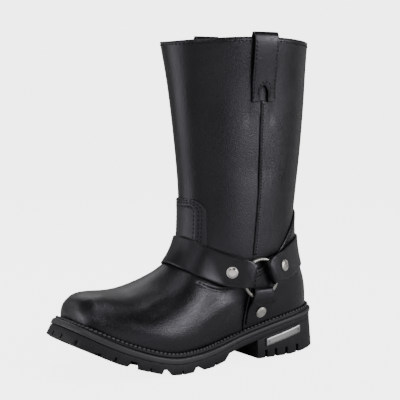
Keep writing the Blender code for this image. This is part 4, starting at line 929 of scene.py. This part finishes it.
# collar: one row all round, left out under the loops
collarSet = {"below": 3.4, "skip": 16.5, "points": 240}
hits = []
for angle in np.linspace(0, 2 * math.pi, collarSet["points"], endpoint=False):
    way = (math.cos(angle), math.sin(angle))
    z = bootPlace["collarTop"] - bootPlace["collarDip"] * way[0] ** 2 - collarSet["below"]
    found = castRound(upperSkin, bootPlace["shaftMiddle"], way, z)
    t = bootPlace["middle"] - found[0][1] * toMm
    hits.append(None if abs(t - loopSet["station"]) < collarSet["skip"] else found)
sewTogether("collar_stitches", [sewRow(hits, stitchSet["fine"], closed=True)])

# side seams: z and t of the cord's middle
seamSet = {"line": [(106.0, 88.4), (140.0, 85.2), (171.0, 83.0), (231.0, 82.8), (261.0, 83.4)],
           "shift": -0.8, "row": (108, 259, 60)}
rows = []
line = [(float(np.interp(z, *zip(*seamSet["line"]))) + seamSet["shift"], z)
        for z in np.linspace(*seamSet["row"])]
for side, end in ((1, "lateral"), (-1, "medial")):
    tree = skinTree(sheetPieces["seam_" + end])
    rows.append(sewRow([castSide(tree, t, z, side) for t, z in line], stitchSet["rope"]))
# grey thread with painted sheen
sewTogether("seam_stitches", rows, sheenPaintedThread)

weltTree = skinTree(welt)
line = topLoop - bandOut * weltSet["sewInset"] * mm
above, down = Vector((0, 0, weltSet["sewAbove"] * mm)), Vector((0, 0, -1))
hits = [castOn(weltTree, Vector(p) + above, down) for p in line]
# grey thread with painted sheen
sewTogether("welt_stitches", [sewRow(hits, stitchSet["welt"], closed=True)], sheenPaintedThread)
print("stitches ready")

# floor, light and camera, in metres
stageSet = {"floor": 12.0, "floorLow": 0.0002, "floorColour": (0.55, 0.55, 0.55), "floorRough": 0.9,
            "floorGloss": 0.1, "floorGlow": 4.2,
            "near": 1.5, "nearAt": (0.42, -0.14, 0.0), "nearOver": (0.12, 0.40),
            "backdrop": 4.4, "glow": (0.03, 0.36), "glowWay": (-0.84, 0.54, 0.0), "glowOver": (-0.2, 0.8)}
clearSelection()
bpy.ops.mesh.primitive_plane_add(size=stageSet["floor"], location=(0, 0, -stageSet["floorLow"]))
floor = bpy.context.object
floor.name = "floor"
floorFinish, floorTree, floorShader = newFinish("pale_floor")
floorShader.inputs["Base Color"].default_value = (*stageSet["floorColour"], 1)
floorShader.inputs["Roughness"].default_value = stageSet["floorRough"]
floorShader.inputs["Specular IOR Level"].default_value = stageSet["floorGloss"]
floorShader.inputs["Emission Color"].default_value = (1, 1, 1, 1)
floorRay = addNode(floorTree, "ShaderNodeLightPath")  # to the camera the floor reads white
floorFar = addNode(floorTree, "ShaderNodeVectorMath", operation="DISTANCE")
floorFar.inputs[1].default_value = stageSet["nearAt"]
floorTree.links.new(addNode(floorTree, "ShaderNodeTexCoord").outputs["Object"], floorFar.inputs[0])
# to the boot it glows only round one place on the lateral side
floorNear = spread(floorTree, floorFar.outputs["Value"], stageSet["near"], 0.0, *stageSet["nearOver"])
floorLift = addNode(floorTree, "ShaderNodeMix",
                    {"Factor": floorRay.outputs["Is Camera Ray"], "A": floorNear}, B=stageSet["floorGlow"])
floorTree.links.new(floorLift.outputs["Result"], floorShader.inputs["Emission Strength"])
floor.data.materials.append(floorFinish)

world = bpy.data.worlds.new("studio")
bpy.context.scene.world = world
world.use_nodes = True
skyTree = world.node_tree
sky = skyTree.nodes["Background"]
sky.inputs["Color"].default_value = (1, 1, 1, 1)
behind = addNode(skyTree, "ShaderNodeVectorMath", operation="DOT_PRODUCT")  # brighter on the medial side
behind.inputs[1].default_value = stageSet["glowWay"]
skyTree.links.new(addNode(skyTree, "ShaderNodeTexCoord").outputs["Generated"], behind.inputs[0])
glow = spread(skyTree, behind.outputs["Value"], *stageSet["glow"], *stageSet["glowOver"])
ray = addNode(skyTree, "ShaderNodeLightPath")  # the backdrop itself reads white
seen = addNode(skyTree, "ShaderNodeMix", {"Factor": ray.outputs["Is Camera Ray"], "A": glow},
               B=stageSet["backdrop"])
skyTree.links.new(seen.outputs["Result"], sky.inputs["Strength"])


# lights: azimuth from the lateral side towards the toe, rise in degrees, distance and size in metres, power
def wayTo(lamp):
    a, e = math.radians(lamp["azimuth"]), math.radians(lamp["rise"])
    return Vector((math.cos(a) * math.cos(e), -math.sin(a) * math.cos(e), math.sin(e)))


overhead = {"azimuth": -62, "rise": 84, "spread": 26, "power": 0.75}
sunData = bpy.data.lights.new("overhead", "SUN")
sunData.energy, sunData.angle = overhead["power"], math.radians(overhead["spread"])
sun = bpy.data.objects.new("overhead", sunData)
bpy.context.scene.collection.objects.link(sun)
sun.matrix_world = turnTo(wayTo(overhead))
lamps = {
    "sideWide": dict(azimuth=-26, rise=13, far=1.3, wide=(0.56, 0.54), watts=8.5),
    "sideBack": dict(azimuth=-48, rise=14, far=1.3, wide=(0.36, 0.30), watts=7.5),
    "band": dict(azimuth=-17, rise=0, far=1.3, wide=(0.20, 0.50), watts=0.3),
    "backSide": dict(azimuth=-96, rise=0, far=1.3, wide=(0.20, 0.50), watts=0.3),
    "frontTop": dict(azimuth=40, rise=60, far=1.3, wide=(0.6, 0.6), watts=4),
    "toeFront": dict(azimuth=86, rise=25, far=1.3, wide=(0.80, 0.60), watts=3.4),
    "toeSide": dict(azimuth=108, rise=4, far=1.2, wide=(1.00, 0.34), watts=7.4),
    "toeFar": dict(azimuth=142, rise=20, far=1.3, wide=(0.40, 0.40), watts=0.9),
    "medial": dict(azimuth=-168, rise=38, far=1.6, wide=(1.0, 0.6), watts=4.0),
    "front": dict(azimuth=38, rise=26, far=1.6, wide=(0.28, 0.28), watts=4.0)}
lampAim = Vector((0, 0, 0.13))  # all of them face this place in the boot
for name, lamp in lamps.items():
    data = bpy.data.lights.new(name, "AREA")
    data.shape, data.energy = "RECTANGLE", lamp["watts"]
    data.size, data.size_y = lamp["wide"]
    light = bpy.data.objects.new(name, data)
    bpy.context.scene.collection.objects.link(light)
    light.visible_camera = False
    light.matrix_world = Matrix.Translation(lampAim + wayTo(lamp) * lamp["far"]) @ turnTo(wayTo(lamp))

# camera: azimuth from the lateral side towards the toe and pitch in radians, distance and height in metres
shot = {"azimuth": 0.56999, "pitch": 0.07452, "far": 1.13159, "toeward": 0.001106, "height": 0.26455,
        "sensor": 36.0, "lens": 102.1715, "shift": (0.02886, -0.04676), "clip": (0.05, 50.0)}
cameraData = bpy.data.cameras.new("photo_view")
camera = bpy.data.objects.new("photo_view", cameraData)
bpy.context.scene.collection.objects.link(camera)
cameraData.sensor_width, cameraData.lens = shot["sensor"], shot["lens"]
cameraData.shift_x, cameraData.shift_y = shot["shift"]
cameraData.clip_start, cameraData.clip_end = shot["clip"]
sideward, forward = math.cos(shot["azimuth"]), math.sin(shot["azimuth"])
level, drop = math.cos(shot["pitch"]), math.sin(shot["pitch"])
spot = Vector((shot["far"] * sideward, -shot["far"] * forward - shot["toeward"], shot["height"]))
look = Vector((-sideward * level, forward * level, -drop))
camera.matrix_world = Matrix.Translation(spot) @ look.to_track_quat("-Z", "Y").to_matrix().to_4x4()
bpy.context.scene.camera = camera
print("stage ready")
